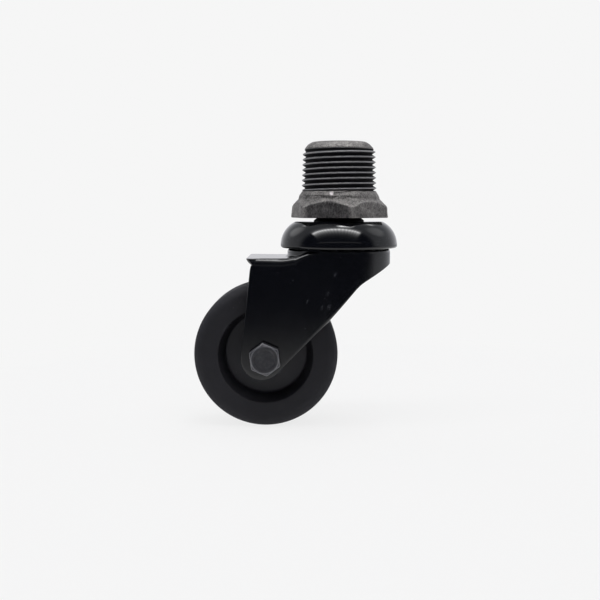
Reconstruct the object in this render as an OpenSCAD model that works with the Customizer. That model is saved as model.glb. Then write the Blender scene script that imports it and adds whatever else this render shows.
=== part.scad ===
// A swivel castor that screws into a pipe fitting.
// A cast reducing bush with a male pipe thread is screwed onto the castor's stem. Under it come a
// domed raceway cap, two rings of loose balls, a fork pressed from one sheet, and a moulded wheel
// that turns on a sleeve clamped between the fork's legs by a bolt and a lock nut.
//
// Sizes are millimetres and angles are degrees. The origin is on the swivel axis, where the pipe
// thread meets the bush's shoulder. +Z points up along the thread, the wheel trails towards -X, and
// the axle runs along Y with the bolt's head on the -Y side.

/* [Reducing bush] */
// Outside diameter of the pipe thread
thread_d = 26.44; // [24:0.02:28]
// Height of one turn of the pipe thread
thread_pitch = 1.814; // [1.3:0.001:2.4]
// Number of the thread's crests
thread_n = 8; // [6:1:10]
// Depth of the thread
thread_depth = 1.12; // [0.8:0.02:1.4]
// Height of the plain nose above the last crest
nose_h = 3.6; // [2.8:0.1:5]
// Width of the nose's rounded slope
nose_slope = 2.6; // [1:0.1:2.8]
// Height of the cone between the thread and the head
shoulder_h = 4; // [2:0.1:6]
// How far that cone flares out past the thread
shoulder_flare = 1.1; // [0.4:0.1:2]
// Width of the hexagon head across its flats
head_af = 31.4; // [31:0.1:36]
// Height of the hexagon head
head_h = 6; // [5:0.1:9]
// Radius of the head's cast corners
head_corner_r = 3; // [1:0.1:4]
// Slope of the chamfer on top of the head
head_chamfer = 30; // [20:1:40]
// Turn of the head's corners about the thread
head_turn = 43; // [0:1:59]

/* [King stem] */
// Outside diameter of the threaded stem inside the bush
stem_d = 16.66; // [14:0.02:18]
// Depth of the stem's end below the top of the bush
stem_setback = 3; // [1:0.1:6]
// Diameter of the collar where it rests on the cap
collar_d = 17.9; // [16:0.1:20]
// Diameter of the collar where it meets the bush
collar_top_d = 15.6; // [13:0.1:15.8]
// Height of the collar, which is the slit between the bush and the cap
collar_h = 1.3; // [0.8:0.1:3]
// Diameter of the shank inside the swivel head
shank_d = 10; // [9:0.1:11]
// Diameter of the spigot that the lower race is riveted to
rivet_d = 8; // [6:0.1:8.5]
// Diameter of the riveted end
rivet_head_d = 13; // [11:0.1:15]
// Height of the riveted end
rivet_head_h = 1.4; // [0.8:0.1:2]

/* [Swivel head] */
// Diameter of the raceway cap at its widest
cap_d = 41.5; // [40:0.1:46]
// Diameter of the cap's flat top
cap_top_d = 31; // [28:0.1:33]
// Height of the cap
cap_h = 9.6; // [9:0.1:11]
// Thickness of the cap's sheet
cap_t = 1.5; // [1.2:0.1:1.8]
// Height of the cap's widest point above its rim
rim_h = 1.3; // [0.5:0.1:1.6]
// How far the cap's rim hangs down past the shoulder of the fork's cup
rim_lap = 0.1; // [0:0.1:0.6]
// Diameter of the upper balls
upper_ball_d = 4.76; // [4:0.01:5]
// Number of upper balls
upper_ball_n = 18; // [12:1:18]
// Slope of the line through an upper ball's two contact points
contact_angle = 32; // [28:1:36]
// Diameter of the lower balls
lower_ball_d = 3.97; // [3.5:0.01:4.2]
// Number of lower balls
lower_ball_n = 12; // [8:1:12]
// Radius of the circle through the lower balls' centres
lower_pitch_r = 8.3; // [8.2:0.1:8.6]
// Thickness of the lower race under its balls
race_t = 1.4; // [1:0.1:1.8]

/* [Fork] */
// Thickness of the fork's sheet
sheet_t = 2; // [1.6:0.1:2.4]
// How far the cap's rim stands out past the fork's cup
rim_overhang = 2.45; // [2.2:0.05:3]
// Radius of the cup's shoulder
cup_shoulder_r = 1.2; // [0.6:0.1:1.6]
// Gap between the inside of the cap and the crown of the fork
crown_gap = 2.2; // [1.5:0.1:2.8]
// Height of the cup at the front of the fork
skirt_h = 5.6; // [5:0.1:9]
// Step from the cup's shoulder down to the apron behind it
apron_drop = 2.9; // [2.2:0.1:4]
// Distance from the swivel axis to the apron's rear edge
apron_reach = 32.2; // [30:0.1:36]
// How far the apron stands out past the legs
apron_lip = 1.5; // [1:0.1:4]
// Radius of the apron's rear corners
apron_corner_r = 1.8; // [1:0.1:6]
// Outer width across the legs
leg_w = 33.4; // [30:0.1:35]
// Outer radius of the bend between the apron and the legs
bend_r = 2.6; // [2.5:0.1:4]
// Radius of the legs' lower ends
leg_end_r = 7.4; // [7:0.1:10]
// How far the middle of that rounding stands behind the axle
leg_end_back = 1.1; // [0:0.1:1.5]
// How far it stands below the axle
leg_end_drop = 0.4; // [0:0.1:1]
// How far the legs' front edge bows out from a straight line
leg_bow = 0.7; // [0:0.1:1.5]
// Distance from the cup's front back to the corner where that edge begins
throat_l = 11.4; // [9:0.1:13]
// Drop of that corner below the cup's front
throat_drop = 6.5; // [4.5:0.1:7.5]
// How much of each edge the corner's rounding takes
throat_cut = 2.6; // [1:0.1:4]

/* [Wheel] */
// Distance of the axle behind the swivel axis
trail = 25.9; // [24:0.1:28]
// Diameter of the wheel
wheel_d = 50.8; // [44:0.2:60]
// Width of the wheel at its rim
wheel_w = 22; // [16:0.1:26]
// Gap between the top of the wheel and the apron
wheel_gap = 6.9; // [3:0.1:12]
// Radius of the tread's edges
tread_edge_r = 4; // [1:0.1:6]
// Diameter of the side recess at its mouth
recess_d = 32.8; // [28:0.1:38]
// Depth of the side recess
recess_depth = 8.5; // [4:0.1:9]
// Slope of the recess wall
recess_draft = 12; // [4:1:20]
// Radius of the recess's mouth and foot
recess_fillet_r = 1; // [0.4:0.1:1.5]
// Diameter of the hub
hub_d = 14.6; // [12:0.1:18]

/* [Axle] */
// Diameter of the bolt
bolt_d = 6; // [5:0.1:7]
// Width of the bolt's head and of the nut across their flats
wrench_af = 10; // [9.5:0.1:13]
// Height of the bolt's head
bolt_head_h = 4; // [3:0.1:6]
// Turn of the bolt's head
bolt_turn = 37; // [0:1:59]
// Height of the nut's hexagon
nut_hex_h = 4.4; // [3:0.1:6]
// Height of the nut's round collar
nut_collar_h = 1.6; // [1:0.1:3]
// Turn of the nut
nut_turn = 12; // [0:1:59]
// Length of bolt that shows past the nut
bolt_tail = 1.6; // [0.5:0.1:4]
// Outside diameter of the axle sleeve
sleeve_d = 9; // [8.5:0.1:10]

/* [Clearances] */
// Radial play between a stem, bolt or spigot and its hole
fit_play = 0.05; // [0.02:0.01:0.1]
// Radial play of the wheel on its sleeve
wheel_play = 0.08; // [0.03:0.01:0.1]
// Gap between the hub's ends and the legs
hub_play = 0.3; // [0.1:0.05:1]
// Radial play of the bolt in the legs and the sleeve
bolt_play = 0.1; // [0.05:0.01:0.2]
// Radial play of the shank in the crown of the fork
shank_play = 0.8; // [0.5:0.1:1]
// Gap between a ball and its grooves
ball_play = 0.05; // [0.03:0.01:0.1]

/* [Hidden] */
$fn = 96;

// Facets in a quarter of a rounded edge
edge_n = 8;
// Depth of a ball groove in the fork's sheet and in the lower race
fork_groove = 0.3;
race_groove = 0.8;
// Width of the lower race outside its balls
race_rim = 0.9;
// Chamfers on turned ends, and the share of a hexagon's corner that its chamfer takes
end_chamfer = 0.8;
hub_chamfer = 0.5;
wrench_chamfer = 30;
wrench_face = 0.94;
// Wall of the nut's collar round its plastic ring
nut_wall = 0.6;
// Overshoot of a cutting shape past the face that it cuts
over = 1;

// Radii
thread_r = thread_d / 2;
stem_r = stem_d / 2;
shank_r = shank_d / 2;
cap_r = cap_d / 2;
cap_top_r = cap_top_d / 2;
wheel_r = wheel_d / 2;
bolt_r = bolt_d / 2;
sleeve_r = sleeve_d / 2;
upper_ball_r = upper_ball_d / 2;
lower_ball_r = lower_ball_d / 2;

// Heights along the swivel axis, from the top down
thread_land = thread_pitch / 6;
thread_l = (thread_n - 1) * thread_pitch + thread_land;
bush_top_z = thread_l + nose_h;
bush_z = -shoulder_h - head_h;
cap_top_z = bush_z - collar_h;
rim_z = cap_top_z - cap_h;
cup_z = rim_z + rim_lap;
apron_z = cup_z - apron_drop;
axle_z = apron_z - sheet_t - wheel_gap - wheel_r;

// The cap's dome is an arc that is upright at the widest point and ends at the flat top
dome_z = rim_z + rim_h;
dome_in = cap_r - cap_top_r;
dome_up = cap_top_z - dome_z;
dome_r = (dome_in * dome_in + dome_up * dome_up) / (2 * dome_in);
dome_x = cap_r - dome_r;

// The upper balls lie against the inside of the dome, on the line of their contact angle
contact = [cos(contact_angle), sin(contact_angle)];
upper_ball_at = [dome_x, dome_z] + (dome_r - cap_t - upper_ball_r - ball_play) * contact;

// The fork's crown is a cone square to that line, with a flat top
cup_r = cap_r - rim_overhang;
crown_z = cap_top_z - cap_t - crown_gap;
cone_at = upper_ball_at - (upper_ball_r - fork_groove) * contact;
function cone_r(z, depth = 0) =
    let (foot = cone_at - depth * contact) foot[0] + (foot[1] - z) * tan(contact_angle);

// The lower balls lie under the crown, in the lower race
lower_ball_at = [lower_pitch_r, crown_z - sheet_t - lower_ball_r + fork_groove];
race_top_z = lower_ball_at[1] - lower_ball_r + race_groove;
race_z = lower_ball_at[1] - lower_ball_r - race_t;
race_r = lower_pitch_r + lower_ball_r + race_rim;

// Fork outline, seen from the side
axle_at = [-trail, axle_z];
leg_end_at = axle_at - [leg_end_back, leg_end_drop];
leg_foot_z = leg_end_at[1] - leg_end_r - over;
leg_top = [apron_lip - apron_reach, apron_z - sheet_t];
leg_gap = leg_w - 2 * sheet_t;

hub_l = leg_gap - 2 * hub_play;
nut_h = nut_hex_h + nut_collar_h;

upper_ball_names = [for (i = [1:upper_ball_n]) str("upper_ball_", i)];
lower_ball_names = [for (i = [1:lower_ball_n]) str("lower_ball_", i)];

// Points of an arc about a centre, from one angle to another
function arc(centre, r, from, to, n) =
    [for (i = [0:n]) let (a = from + (to - from) * i / n) centre + r * [cos(a), sin(a)]];

// Points of a curve that leaves one point towards a second and ends at a third
function bend(a, b, c, n) =
    [for (i = [0:n]) let (t = i / n) (1 - t) * (1 - t) * a + 2 * t * (1 - t) * b + t * t * c];

// Direction from one point to another, with length 1
function way(a, b) = (b - a) / norm(b - a);

// Angle at which a line from a point touches a circle, to the left (side 1) or the right (side -1) of
// the circle's centre as seen from there
function touch_angle(point, centre, r, side) =
    let (d = point - centre) atan2(d[1], d[0]) + side * acos(r / norm(d));

// Hexagon with rounded corners, one of them turned to +X
module round_hexagon(af, r) {
    middle_r = (af / 2 - r) / cos(30);
    polygon([for (i = [0:5]) each arc(middle_r * [cos(60 * i), sin(60 * i)], r, 60 * i - 30, 60 * i + 30, edge_n)]);
}

// Hexagon of a bolt's head or a nut, with its top corners chamfered
module wrench_hexagon(h) {
    corner_r = wrench_af / 2 / cos(30);
    face_r = wrench_face * wrench_af / 2;
    slope_h = (corner_r - face_r) * tan(wrench_chamfer);
    intersection() {
        cylinder(r = corner_r, h = h, $fn = 6);
        rotate_extrude()
            polygon([[0, 0], [corner_r, 0], [corner_r, h - slope_h], [face_r, h], [0, h]]);
    }
}

// Turns a shape's Z axis onto the axle, pointing to the side of the bolt's head
module on_axle() {
    translate([-trail, 0, axle_z])
        rotate([90, 0, 0])
            children();
}

// Ring that a row of balls sweeps, with its play
module ball_groove(at, r) {
    rotate_extrude()
        translate(at)
            circle(r = r + ball_play);
}

// One ball of a row of n
module ball(at, r, i, n) {
    color("silver")
        rotate([0, 0, 360 * i / n])
            translate([at[0], 0, at[1]])
                sphere(r = r);
}

// Side of the pipe thread from the shoulder up, as rings with flat crests and roots
function thread_side(root_r) =
    let (flank = thread_pitch / 2 - thread_land)
    [
        for (i = [0:thread_n - 1])
            let (z = thread_pitch * i + thread_land)
            each [[thread_r, z - thread_land], [thread_r, z], [root_r, z + flank], [root_r, z + flank + thread_land]]
    ];

module reducing_bush() {
    neck_r = thread_r + shoulder_flare;
    corner_r = head_af / 2 / cos(30);
    root_r = thread_r - thread_depth;
    nose_r = root_r - nose_slope;
    nose_edge = [root_r - nose_slope / 5, bush_top_z - nose_slope / 3];
    slope_h = (corner_r - neck_r) * tan(head_chamfer);
    bore_r = stem_r + fit_play;
    color("dimgray")
        difference() {
            intersection() {
                rotate_extrude()
                    polygon(concat(
                        [[0, bush_z], [corner_r, bush_z], [corner_r, -shoulder_h - slope_h], [neck_r, -shoulder_h]],
                        thread_side(root_r),
                        bend([root_r, bush_top_z - nose_slope], nose_edge, [nose_r, bush_top_z], edge_n / 2),
                        [[0, bush_top_z]]
                    ));
                translate([0, 0, bush_z - over])
                    rotate([0, 0, head_turn])
                        linear_extrude(bush_top_z - bush_z + 2 * over)
                            round_hexagon(head_af, head_corner_r);
            }
            translate([0, 0, bush_z - over])
                cylinder(r = bore_r, h = bush_top_z - bush_z + 2 * over);
            translate([0, 0, bush_top_z - end_chamfer])
                cylinder(r1 = bore_r, r2 = bore_r + end_chamfer + over, h = end_chamfer + over);
        }
}

module king_stem() {
    stem_z = bush_top_z - stem_setback;
    rivet_r = rivet_d / 2;
    rivet_head_r = rivet_head_d / 2;
    rivet_z = race_z - rivet_head_h;
    color("gray")
        rotate_extrude()
            polygon([
                [0, stem_z], [stem_r - end_chamfer, stem_z], [stem_r, stem_z - end_chamfer],
                [stem_r, bush_z], [collar_top_d / 2, bush_z], [collar_d / 2, cap_top_z],
                [shank_r, cap_top_z], [shank_r, race_top_z], [rivet_r, race_top_z],
                [rivet_r, race_z], [rivet_head_r, race_z],
                [rivet_head_r, race_z - rivet_head_h / 2],
                [rivet_head_r - rivet_head_h / 2, rivet_z], [0, rivet_z]
            ]);
}

// Half section of the dome: its arc outside the arc's centre and a block inside it
module dome_section(r, top_z, foot_z) {
    intersection() {
        translate([dome_x, dome_z])
            circle(r = r);
        translate([dome_x - over, foot_z])
            square([r + 2 * over, top_z - foot_z]);
    }
    translate([0, foot_z])
        square([dome_x, top_z - foot_z]);
}

module raceway_cap() {
    color("#202225")
        difference() {
            rotate_extrude()
                difference() {
                    dome_section(dome_r, cap_top_z, rim_z);
                    dome_section(dome_r - cap_t, cap_top_z - cap_t, rim_z - over);
                }
            translate([0, 0, rim_z])
                cylinder(r = shank_r + fit_play, h = cap_h + over);
        }
}

module lower_race() {
    color("silver")
        difference() {
            translate([0, 0, race_z])
                cylinder(r = race_r, h = race_top_z - race_z);
            translate([0, 0, race_z - over])
                cylinder(r = rivet_d / 2 + fit_play, h = race_top_z - race_z + 2 * over);
            ball_groove(lower_ball_at, lower_ball_r);
        }
}

// Section of the channel that the apron and the legs are bent into
module channel_section(w, top_z, r) {
    half = w / 2;
    polygon(concat(
        [[-half, leg_foot_z], [half, leg_foot_z]],
        arc([half - r, top_z - r], r, 0, 90, edge_n),
        arc([r - half, top_z - r], r, 90, 180, edge_n)
    ));
}

// Channel that runs back from the swivel axis
module channel(w, top_z, r, reach) {
    translate([-reach, 0, 0])
        rotate([90, 0, 90])
            linear_extrude(reach)
                channel_section(w, top_z, r);
}

// Plan of the apron, with its rear corners rounded
module apron_plan() {
    half = leg_w / 2;
    polygon(concat(
        [[over, half]],
        arc([apron_corner_r - apron_reach, half - apron_corner_r], apron_corner_r, 90, 180, edge_n),
        arc([apron_corner_r - apron_reach, apron_corner_r - half], apron_corner_r, 180, 270, edge_n),
        [[over, -half]]
    ));
}

// Side outline of the fork: the cup, the apron and the legs down to the axle
module fork_outline() {
    front = [cup_r, cup_z - skirt_h];
    corner = front - [throat_l, throat_drop];
    straight_angle = touch_angle(corner, leg_end_at, leg_end_r, -1);
    outward = [cos(straight_angle), sin(straight_angle)];
    elbow = (corner + leg_end_at + leg_end_r * outward) / 2 + leg_bow * outward;
    foot_angle = touch_angle(elbow, leg_end_at, leg_end_r, -1);
    foot = leg_end_at + leg_end_r * [cos(foot_angle), sin(foot_angle)];
    corner_end = corner + throat_cut * way(corner, elbow);
    rear_angle = touch_angle(leg_top, leg_end_at, leg_end_r, 1);
    top_z = crown_z + over;
    polygon(concat(
        [front],
        bend(corner + throat_cut * way(corner, front), corner, corner_end, edge_n),
        bend(corner_end, elbow, foot, 2 * edge_n),
        arc(leg_end_at, leg_end_r, foot_angle, rear_angle - 360, 3 * edge_n),
        [leg_top, [-apron_reach, leg_top[1]], [-apron_reach, top_z]],
        [[cup_r + over, top_z], [cup_r + over, front[1]]]
    ));
}

// Half section of the cup and its crown, or of their inside at a depth below the outer face
module cup_section(depth) {
    r = cup_r - depth;
    z = cup_z - depth;
    shoulder_r = max(cup_shoulder_r - depth, over / 10);
    polygon(concat(
        [[0, leg_foot_z], [r, leg_foot_z]],
        arc([r - shoulder_r, z - shoulder_r], shoulder_r, 0, 90, edge_n),
        [[cone_r(z, depth), z], [cone_r(crown_z - depth, depth), crown_z - depth], [0, crown_z - depth]]
    ));
}

module fork() {
    hole_h = leg_w + 2 * over;
    color("#1b1d20")
        intersection() {
            difference() {
                union() {
                    rotate_extrude()
                        cup_section(0);
                    intersection() {
                        channel(leg_w, apron_z, bend_r, apron_reach);
                        translate([0, 0, leg_foot_z])
                            linear_extrude(apron_z - leg_foot_z + over)
                                apron_plan();
                    }
                }
                rotate_extrude()
                    cup_section(sheet_t);
                channel(leg_gap, apron_z - sheet_t, bend_r - sheet_t, apron_reach + over);
                translate([0, 0, crown_z - sheet_t - over])
                    cylinder(r = shank_r + shank_play, h = sheet_t + 2 * over);
                ball_groove(upper_ball_at, upper_ball_r);
                ball_groove(lower_ball_at, lower_ball_r);
                on_axle()
                    translate([0, 0, -hole_h / 2])
                        cylinder(r = bolt_r + bolt_play, h = hole_h);
            }
            rotate([90, 0, 0])
                translate([0, 0, -cup_r - over])
                    linear_extrude(2 * (cup_r + over))
                        fork_outline();
        }
}

// One half of the wheel's section, from its bore out to its tread
function wheel_half() =
    let (
        half = wheel_w / 2,
        hub_r = hub_d / 2,
        bore_r = sleeve_r + wheel_play,
        floor_z = half - recess_depth,
        mouth_r = recess_d / 2,
        foot_r = mouth_r - recess_depth * tan(recess_draft),
        f = recess_fillet_r
    ) concat(
        [[bore_r, hub_l / 2], [hub_r - hub_chamfer, hub_l / 2], [hub_r, hub_l / 2 - hub_chamfer]],
        arc([hub_r + f, floor_z + f], f, 180, 270, edge_n / 2),
        arc([foot_r - f, floor_z + f], f, 270, 360 - recess_draft, edge_n / 2),
        arc([mouth_r + f, half - f], f, 180 - recess_draft, 90, edge_n / 2),
        arc([wheel_r - tread_edge_r, half - tread_edge_r], tread_edge_r, 90, 0, edge_n)
    );

module wheel() {
    side = wheel_half();
    last = len(side) - 1;
    color("#242528")
        on_axle()
            rotate_extrude()
                polygon(concat(side, [for (i = [0:last]) let (p = side[last - i]) [p[0], -p[1]]]));
}

module axle_sleeve() {
    color("silver")
        on_axle()
            translate([0, 0, -leg_gap / 2])
                difference() {
                    cylinder(r = sleeve_r, h = leg_gap);
                    translate([0, 0, -over])
                        cylinder(r = bolt_r + bolt_play, h = leg_gap + 2 * over);
                }
}

module axle_bolt() {
    grip = leg_w + nut_h + bolt_tail;
    color("#303236")
        on_axle()
            translate([0, 0, leg_w / 2]) {
                rotate([0, 0, bolt_turn])
                    wrench_hexagon(bolt_head_h);
                translate([0, 0, -grip])
                    rotate_extrude()
                        polygon([
                            [0, 0], [bolt_r - end_chamfer, 0], [bolt_r, end_chamfer],
                            [bolt_r, grip + bolt_head_h / 2], [0, grip + bolt_head_h / 2]
                        ]);
            }
}

// Turns a shape's Z axis outwards from the face that the nut is tightened against
module on_nut_seat() {
    on_axle()
        translate([0, 0, -leg_w / 2])
            rotate([180, 0, nut_turn])
                children();
}

nut_collar_r = wrench_face * wrench_af / 2;
ring_r = nut_collar_r - nut_wall;

module axle_nut() {
    color("#303236")
        on_nut_seat()
            difference() {
                union() {
                    wrench_hexagon(nut_hex_h);
                    rotate_extrude()
                        polygon([
                            [0, 0], [nut_collar_r, 0], [nut_collar_r, nut_h - nut_wall],
                            [ring_r + nut_wall / 2, nut_h], [0, nut_h]
                        ]);
                }
                translate([0, 0, -over])
                    cylinder(r = bolt_r + fit_play, h = nut_h + 2 * over);
                translate([0, 0, nut_hex_h])
                    cylinder(r = ring_r, h = nut_collar_h + over);
            }
}

module nut_ring() {
    color("#20314a")
        on_nut_seat()
            translate([0, 0, nut_hex_h])
                difference() {
                    cylinder(r = ring_r - fit_play, h = nut_collar_h - nut_wall / 2);
                    translate([0, 0, -over])
                        cylinder(r = bolt_r + fit_play, h = nut_collar_h + 2 * over);
                }
}

reducing_bush();
king_stem();
raceway_cap();
lower_race();
for (i = [1:upper_ball_n])
    ball(upper_ball_at, upper_ball_r, i, upper_ball_n);
for (i = [1:lower_ball_n])
    ball(lower_ball_at, lower_ball_r, i, lower_ball_n);
fork();
wheel();
axle_sleeve();
axle_bolt();
axle_nut();
nut_ring();
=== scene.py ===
"""Dresses the pipe fitting castor in Blender.

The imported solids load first, as a fixed frame. Each sub-assembly is a class that holds its sizes in
millimetres, works its surfaces out as grids of points and gives them a finish. The studio comes last.
The frame is the solids' own: Z up along the pipe thread, the wheel trailing towards -X, the bolt's head
on the -Y side, and the origin on the swivel axis where the thread meets the bush's shoulder.
"""

from __future__ import annotations

import logging
import math
from collections.abc import Mapping, Sequence
from dataclasses import dataclass, field
from enum import Enum

import bmesh
import bpy
import numpy as np
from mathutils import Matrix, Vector
from numpy.typing import NDArray

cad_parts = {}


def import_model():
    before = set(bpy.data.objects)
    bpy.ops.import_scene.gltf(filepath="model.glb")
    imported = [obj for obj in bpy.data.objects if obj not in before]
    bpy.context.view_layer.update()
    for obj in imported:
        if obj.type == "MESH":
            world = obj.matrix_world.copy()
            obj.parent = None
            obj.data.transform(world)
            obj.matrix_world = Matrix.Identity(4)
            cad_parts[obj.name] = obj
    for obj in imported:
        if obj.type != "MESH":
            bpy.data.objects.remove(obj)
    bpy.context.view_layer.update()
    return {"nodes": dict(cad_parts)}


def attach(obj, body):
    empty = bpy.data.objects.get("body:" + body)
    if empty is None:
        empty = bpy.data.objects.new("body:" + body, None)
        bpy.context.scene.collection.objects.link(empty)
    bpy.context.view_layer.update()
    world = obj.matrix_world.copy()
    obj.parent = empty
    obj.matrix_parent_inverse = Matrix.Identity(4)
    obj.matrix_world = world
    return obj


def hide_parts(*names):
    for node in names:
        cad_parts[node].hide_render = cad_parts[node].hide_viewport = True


LOG = logging.getLogger("castor")
MM = 0.001
TINY = 1e-9
WELD = 1e-6
FULL_TURN = 2 * math.pi
SIXTH_TURN = FULL_TURN / 6
FLIP_Y = np.array([1.0, -1.0, 1.0])
DROP_Z = np.array([1.0, 1.0, 0.0])
EASE_N = 4

Array = NDArray[np.float64]
Triple = tuple[float, float, float]
Colour = Triple
Pair = tuple[float, float]
Corner = tuple[Array | float, Array | float]


class Body(Enum):
    """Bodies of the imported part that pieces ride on."""

    HEAD = "swivel_head"
    FORK = "fork_assembly"
    WHEEL = "road_wheel"


class Slot(Enum):
    """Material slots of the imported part."""

    BUSH = "cast_bush"
    STEM = "stem_steel"
    CAP = "cap_paint"
    FORK = "fork_paint"
    WHEEL = "wheel_plastic"
    BOLT = "bolt_black"


# Shapes as arrays


def smooth_step(value: Array, low: float, high: float) -> Array:
    """Rises from 0 at low to 1 at high, as 3t^2 - 2t^3.

    Args:
        value: Values to grade.
        low: Value at which the rise starts.
        high: Value at which it ends; it may be below low, for a fall.

    Returns:
        The grades, from 0 to 1.
    """
    t = np.clip((value - low) / (high - low), 0, 1)
    return t * t * (3 - 2 * t)


def eased_path(corners: Array, cuts: Array, bend_n: int, fill: Sequence[int], reach: float = 0.48) -> Array:
    """Carries a path through corners and rounds each inner one.

    At a corner B the path leaves the straight before it at B - T u and joins the straight after it at
    B + T v, with T the cut and u and v the two straights' directions. Between them it is
    (1-t)^2 (B - T u) + 2t(1-t) B + t^2 (B + T v).

    Args:
        corners: Corner points, with any leading axes, then the corner, then the coordinate.
        cuts: Cut of each inner corner; it is held to reach times the shorter straight beside it.
        bend_n: Points on each rounded corner.
        fill: Points inside each straight.
        reach: Largest share of a straight that a cut may take.

    Returns:
        Points of the paths, with the same leading axes.
    """
    spans = np.diff(corners, axis=-2)
    lengths = np.linalg.norm(spans, axis=-1)
    ways = spans / np.maximum(lengths, TINY)[..., None]
    room = reach * np.minimum(lengths[..., :-1], lengths[..., 1:])
    cut = np.minimum(cuts, room)[..., None]
    middle = corners[..., 1:-1, :]
    leave = middle - cut * ways[..., :-1, :]
    join = middle + cut * ways[..., 1:, :]
    t = (np.arange(bend_n) / bend_n)[:, None]
    inner = middle.shape[-2]
    runs: list[Array] = []
    start = corners[..., 0, :]
    for i, n in enumerate(fill):
        end = leave[..., i, :] if i < inner else corners[..., -1, :]
        s = (np.arange(n + 1) / (n + 1))[:, None]
        runs.append(start[..., None, :] + s * (end - start)[..., None, :])
        if i < inner:
            a, b, c = (p[..., i, None, :] for p in (leave, middle, join))
            runs.append((1 - t) ** 2 * a + 2 * t * (1 - t) * b + t**2 * c)
            start = join[..., i, :]
    runs.append(corners[..., -1:, :])
    return np.concatenate(runs, axis=-2)


def row_after(bend: int, bend_n: int, fill: Sequence[int]) -> int:
    """Index of the point of an eased path at which the rounding of an inner corner ends."""
    return sum(n + 1 for n in fill[: bend + 1]) + (bend + 1) * bend_n


def turn_angles(count: int) -> Array:
    """Angles of a full turn, without the one that repeats the first."""
    return np.arange(count) * FULL_TURN / count


def wrapped(angle: Array, period: float = FULL_TURN) -> Array:
    """Angle brought to within half a period of 0."""
    return (angle + period / 2) % period - period / 2


def hump(distance: Array, width: float) -> Array:
    """Round hump about 0: exp(-(distance / width)^2)."""
    return np.exp(-((distance / width) ** 2))


def corner_rows(corners: Sequence[Corner], angle: Array) -> Array:
    """Corners (r, z) of a section, by angle; a plain number holds at every angle."""
    rows = [np.broadcast_arrays(r, z, angle)[:2] for r, z in corners]
    return np.stack([np.stack(row, axis=-1) for row in rows], axis=-2)


def lathe(profile: Array, count: int) -> Array:
    """Turns a profile about Z: (r, z) becomes (r cos a, r sin a, z).

    Args:
        profile: Points (r, z), or one such row for each angle.
        count: Angles in the turn.

    Returns:
        Points on a grid of angle by profile point.
    """
    a = turn_angles(count)[:, None]
    rows = profile if profile.ndim == 3 else profile[None]
    r, z = rows[..., 0], rows[..., 1]
    return np.stack(np.broadcast_arrays(r * np.cos(a), r * np.sin(a), z), axis=-1)


def hexagon_radius(angle: Array, flat: float, corner: float) -> Array:
    """Polar radius of a hexagon with rounded corners and the middle of a face at angle 0.

    On a face it is flat / cos(phi), with phi the angle from the face's middle. Past the face's end it is
    the far side of the corner's circle: c cos(o) + sqrt(corner^2 - c^2 sin(o)^2), with c the distance of
    the circle's centre and o the angle from it.

    Args:
        angle: Angles in radians.
        flat: Distance from the middle to a face.
        corner: Radius of the corners.

    Returns:
        The radii.
    """
    phi = np.abs(wrapped(angle, SIXTH_TURN))
    half = (flat - corner) * math.tan(SIXTH_TURN / 2)
    centre = math.hypot(flat - corner, half)
    off = phi - math.atan2(half, flat - corner)
    rounded = centre * np.cos(off) + np.sqrt(np.maximum(corner**2 - (centre * np.sin(off)) ** 2, 0))
    return np.where(flat * np.tan(phi) <= half, flat / np.cos(phi), rounded)


def screw_ridge(angle: Array, height: Array, pitch: float, land: float) -> Array:
    """Height of a right-hand thread's ridge, from 0 in the root to 1 on the crest.

    With f the fraction of (height - pitch angle / turn) / pitch, the flanks are 1 - |2f - 1|, cut flat
    over the share land at the root and at the crest.

    Args:
        angle: Angles about the axis, in radians.
        height: Heights along the axis.
        pitch: Height of one turn.
        land: Share of the flank's height that is cut off at each end.

    Returns:
        The ridge's height.
    """
    fraction = (height / pitch - angle / FULL_TURN) % 1
    flank = 1 - np.abs(2 * fraction - 1)
    return np.clip((flank - land) / (1 - 2 * land), 0, 1)


def waves(points: Array, length: float, seed: int, count: int = 18) -> Array:
    """Smooth unevenness about 0: a sum of sines along random directions.

    Each sine is sin(2 pi d.p / L + phase), with d a random unit vector and L near the wave length.

    Args:
        points: Points to grade.
        length: Usual wave length.
        seed: Seed of the random directions.
        count: Number of sines.

    Returns:
        The unevenness at each point, about 1 in size.
    """
    rng = np.random.default_rng(seed)
    way = rng.normal(size=(count, 3))
    way /= np.linalg.norm(way, axis=1, keepdims=True)
    way *= FULL_TURN / (length * rng.uniform(0.6, 1.7, (count, 1)))
    phase = rng.uniform(0, FULL_TURN, count)
    return np.sin(points @ way.T + phase).sum(axis=-1) / math.sqrt(count)


def soft_curve(a: Array, b: Array, c: Array, count: int) -> Array:
    """Points of (1-t)^2 a + 2t(1-t) b + t^2 c, with t from 0 to 1."""
    t = np.linspace(0, 1, count)[:, None]
    return (1 - t) ** 2 * a + 2 * t * (1 - t) * b + t**2 * c


def touch_angle(point: Array, centre: Array, radius: float, side: int) -> float:
    """Angle on a circle at which a line from a point touches it.

    It is the angle of the way from the centre to the point, plus or minus acos(radius / distance).

    Args:
        point: Point outside the circle.
        centre: The circle's centre.
        radius: Its radius.
        side: 1 or -1, for plus or minus.

    Returns:
        The angle in radians.
    """
    away = point - centre
    return math.atan2(away[1], away[0]) + side * math.acos(radius / math.hypot(*away))


def line_distance(x: Array, z: Array, line: Sequence[Pair]) -> Array:
    """Distance of flat points from a line of straight pieces.

    Args:
        x: First coordinates.
        z: Second coordinates.
        line: Corners of the line.

    Returns:
        The distance to the nearest piece.
    """
    found = np.full(x.shape, np.inf)
    for (x0, z0), (x1, z1) in zip(line, line[1:]):
        span = (x1 - x0) ** 2 + (z1 - z0) ** 2
        t = np.clip(((x - x0) * (x1 - x0) + (z - z0) * (z1 - z0)) / span, 0, 1)
        found = np.minimum(found, np.hypot(x - x0 - t * (x1 - x0), z - z0 - t * (z1 - z0)))
    return found


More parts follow.
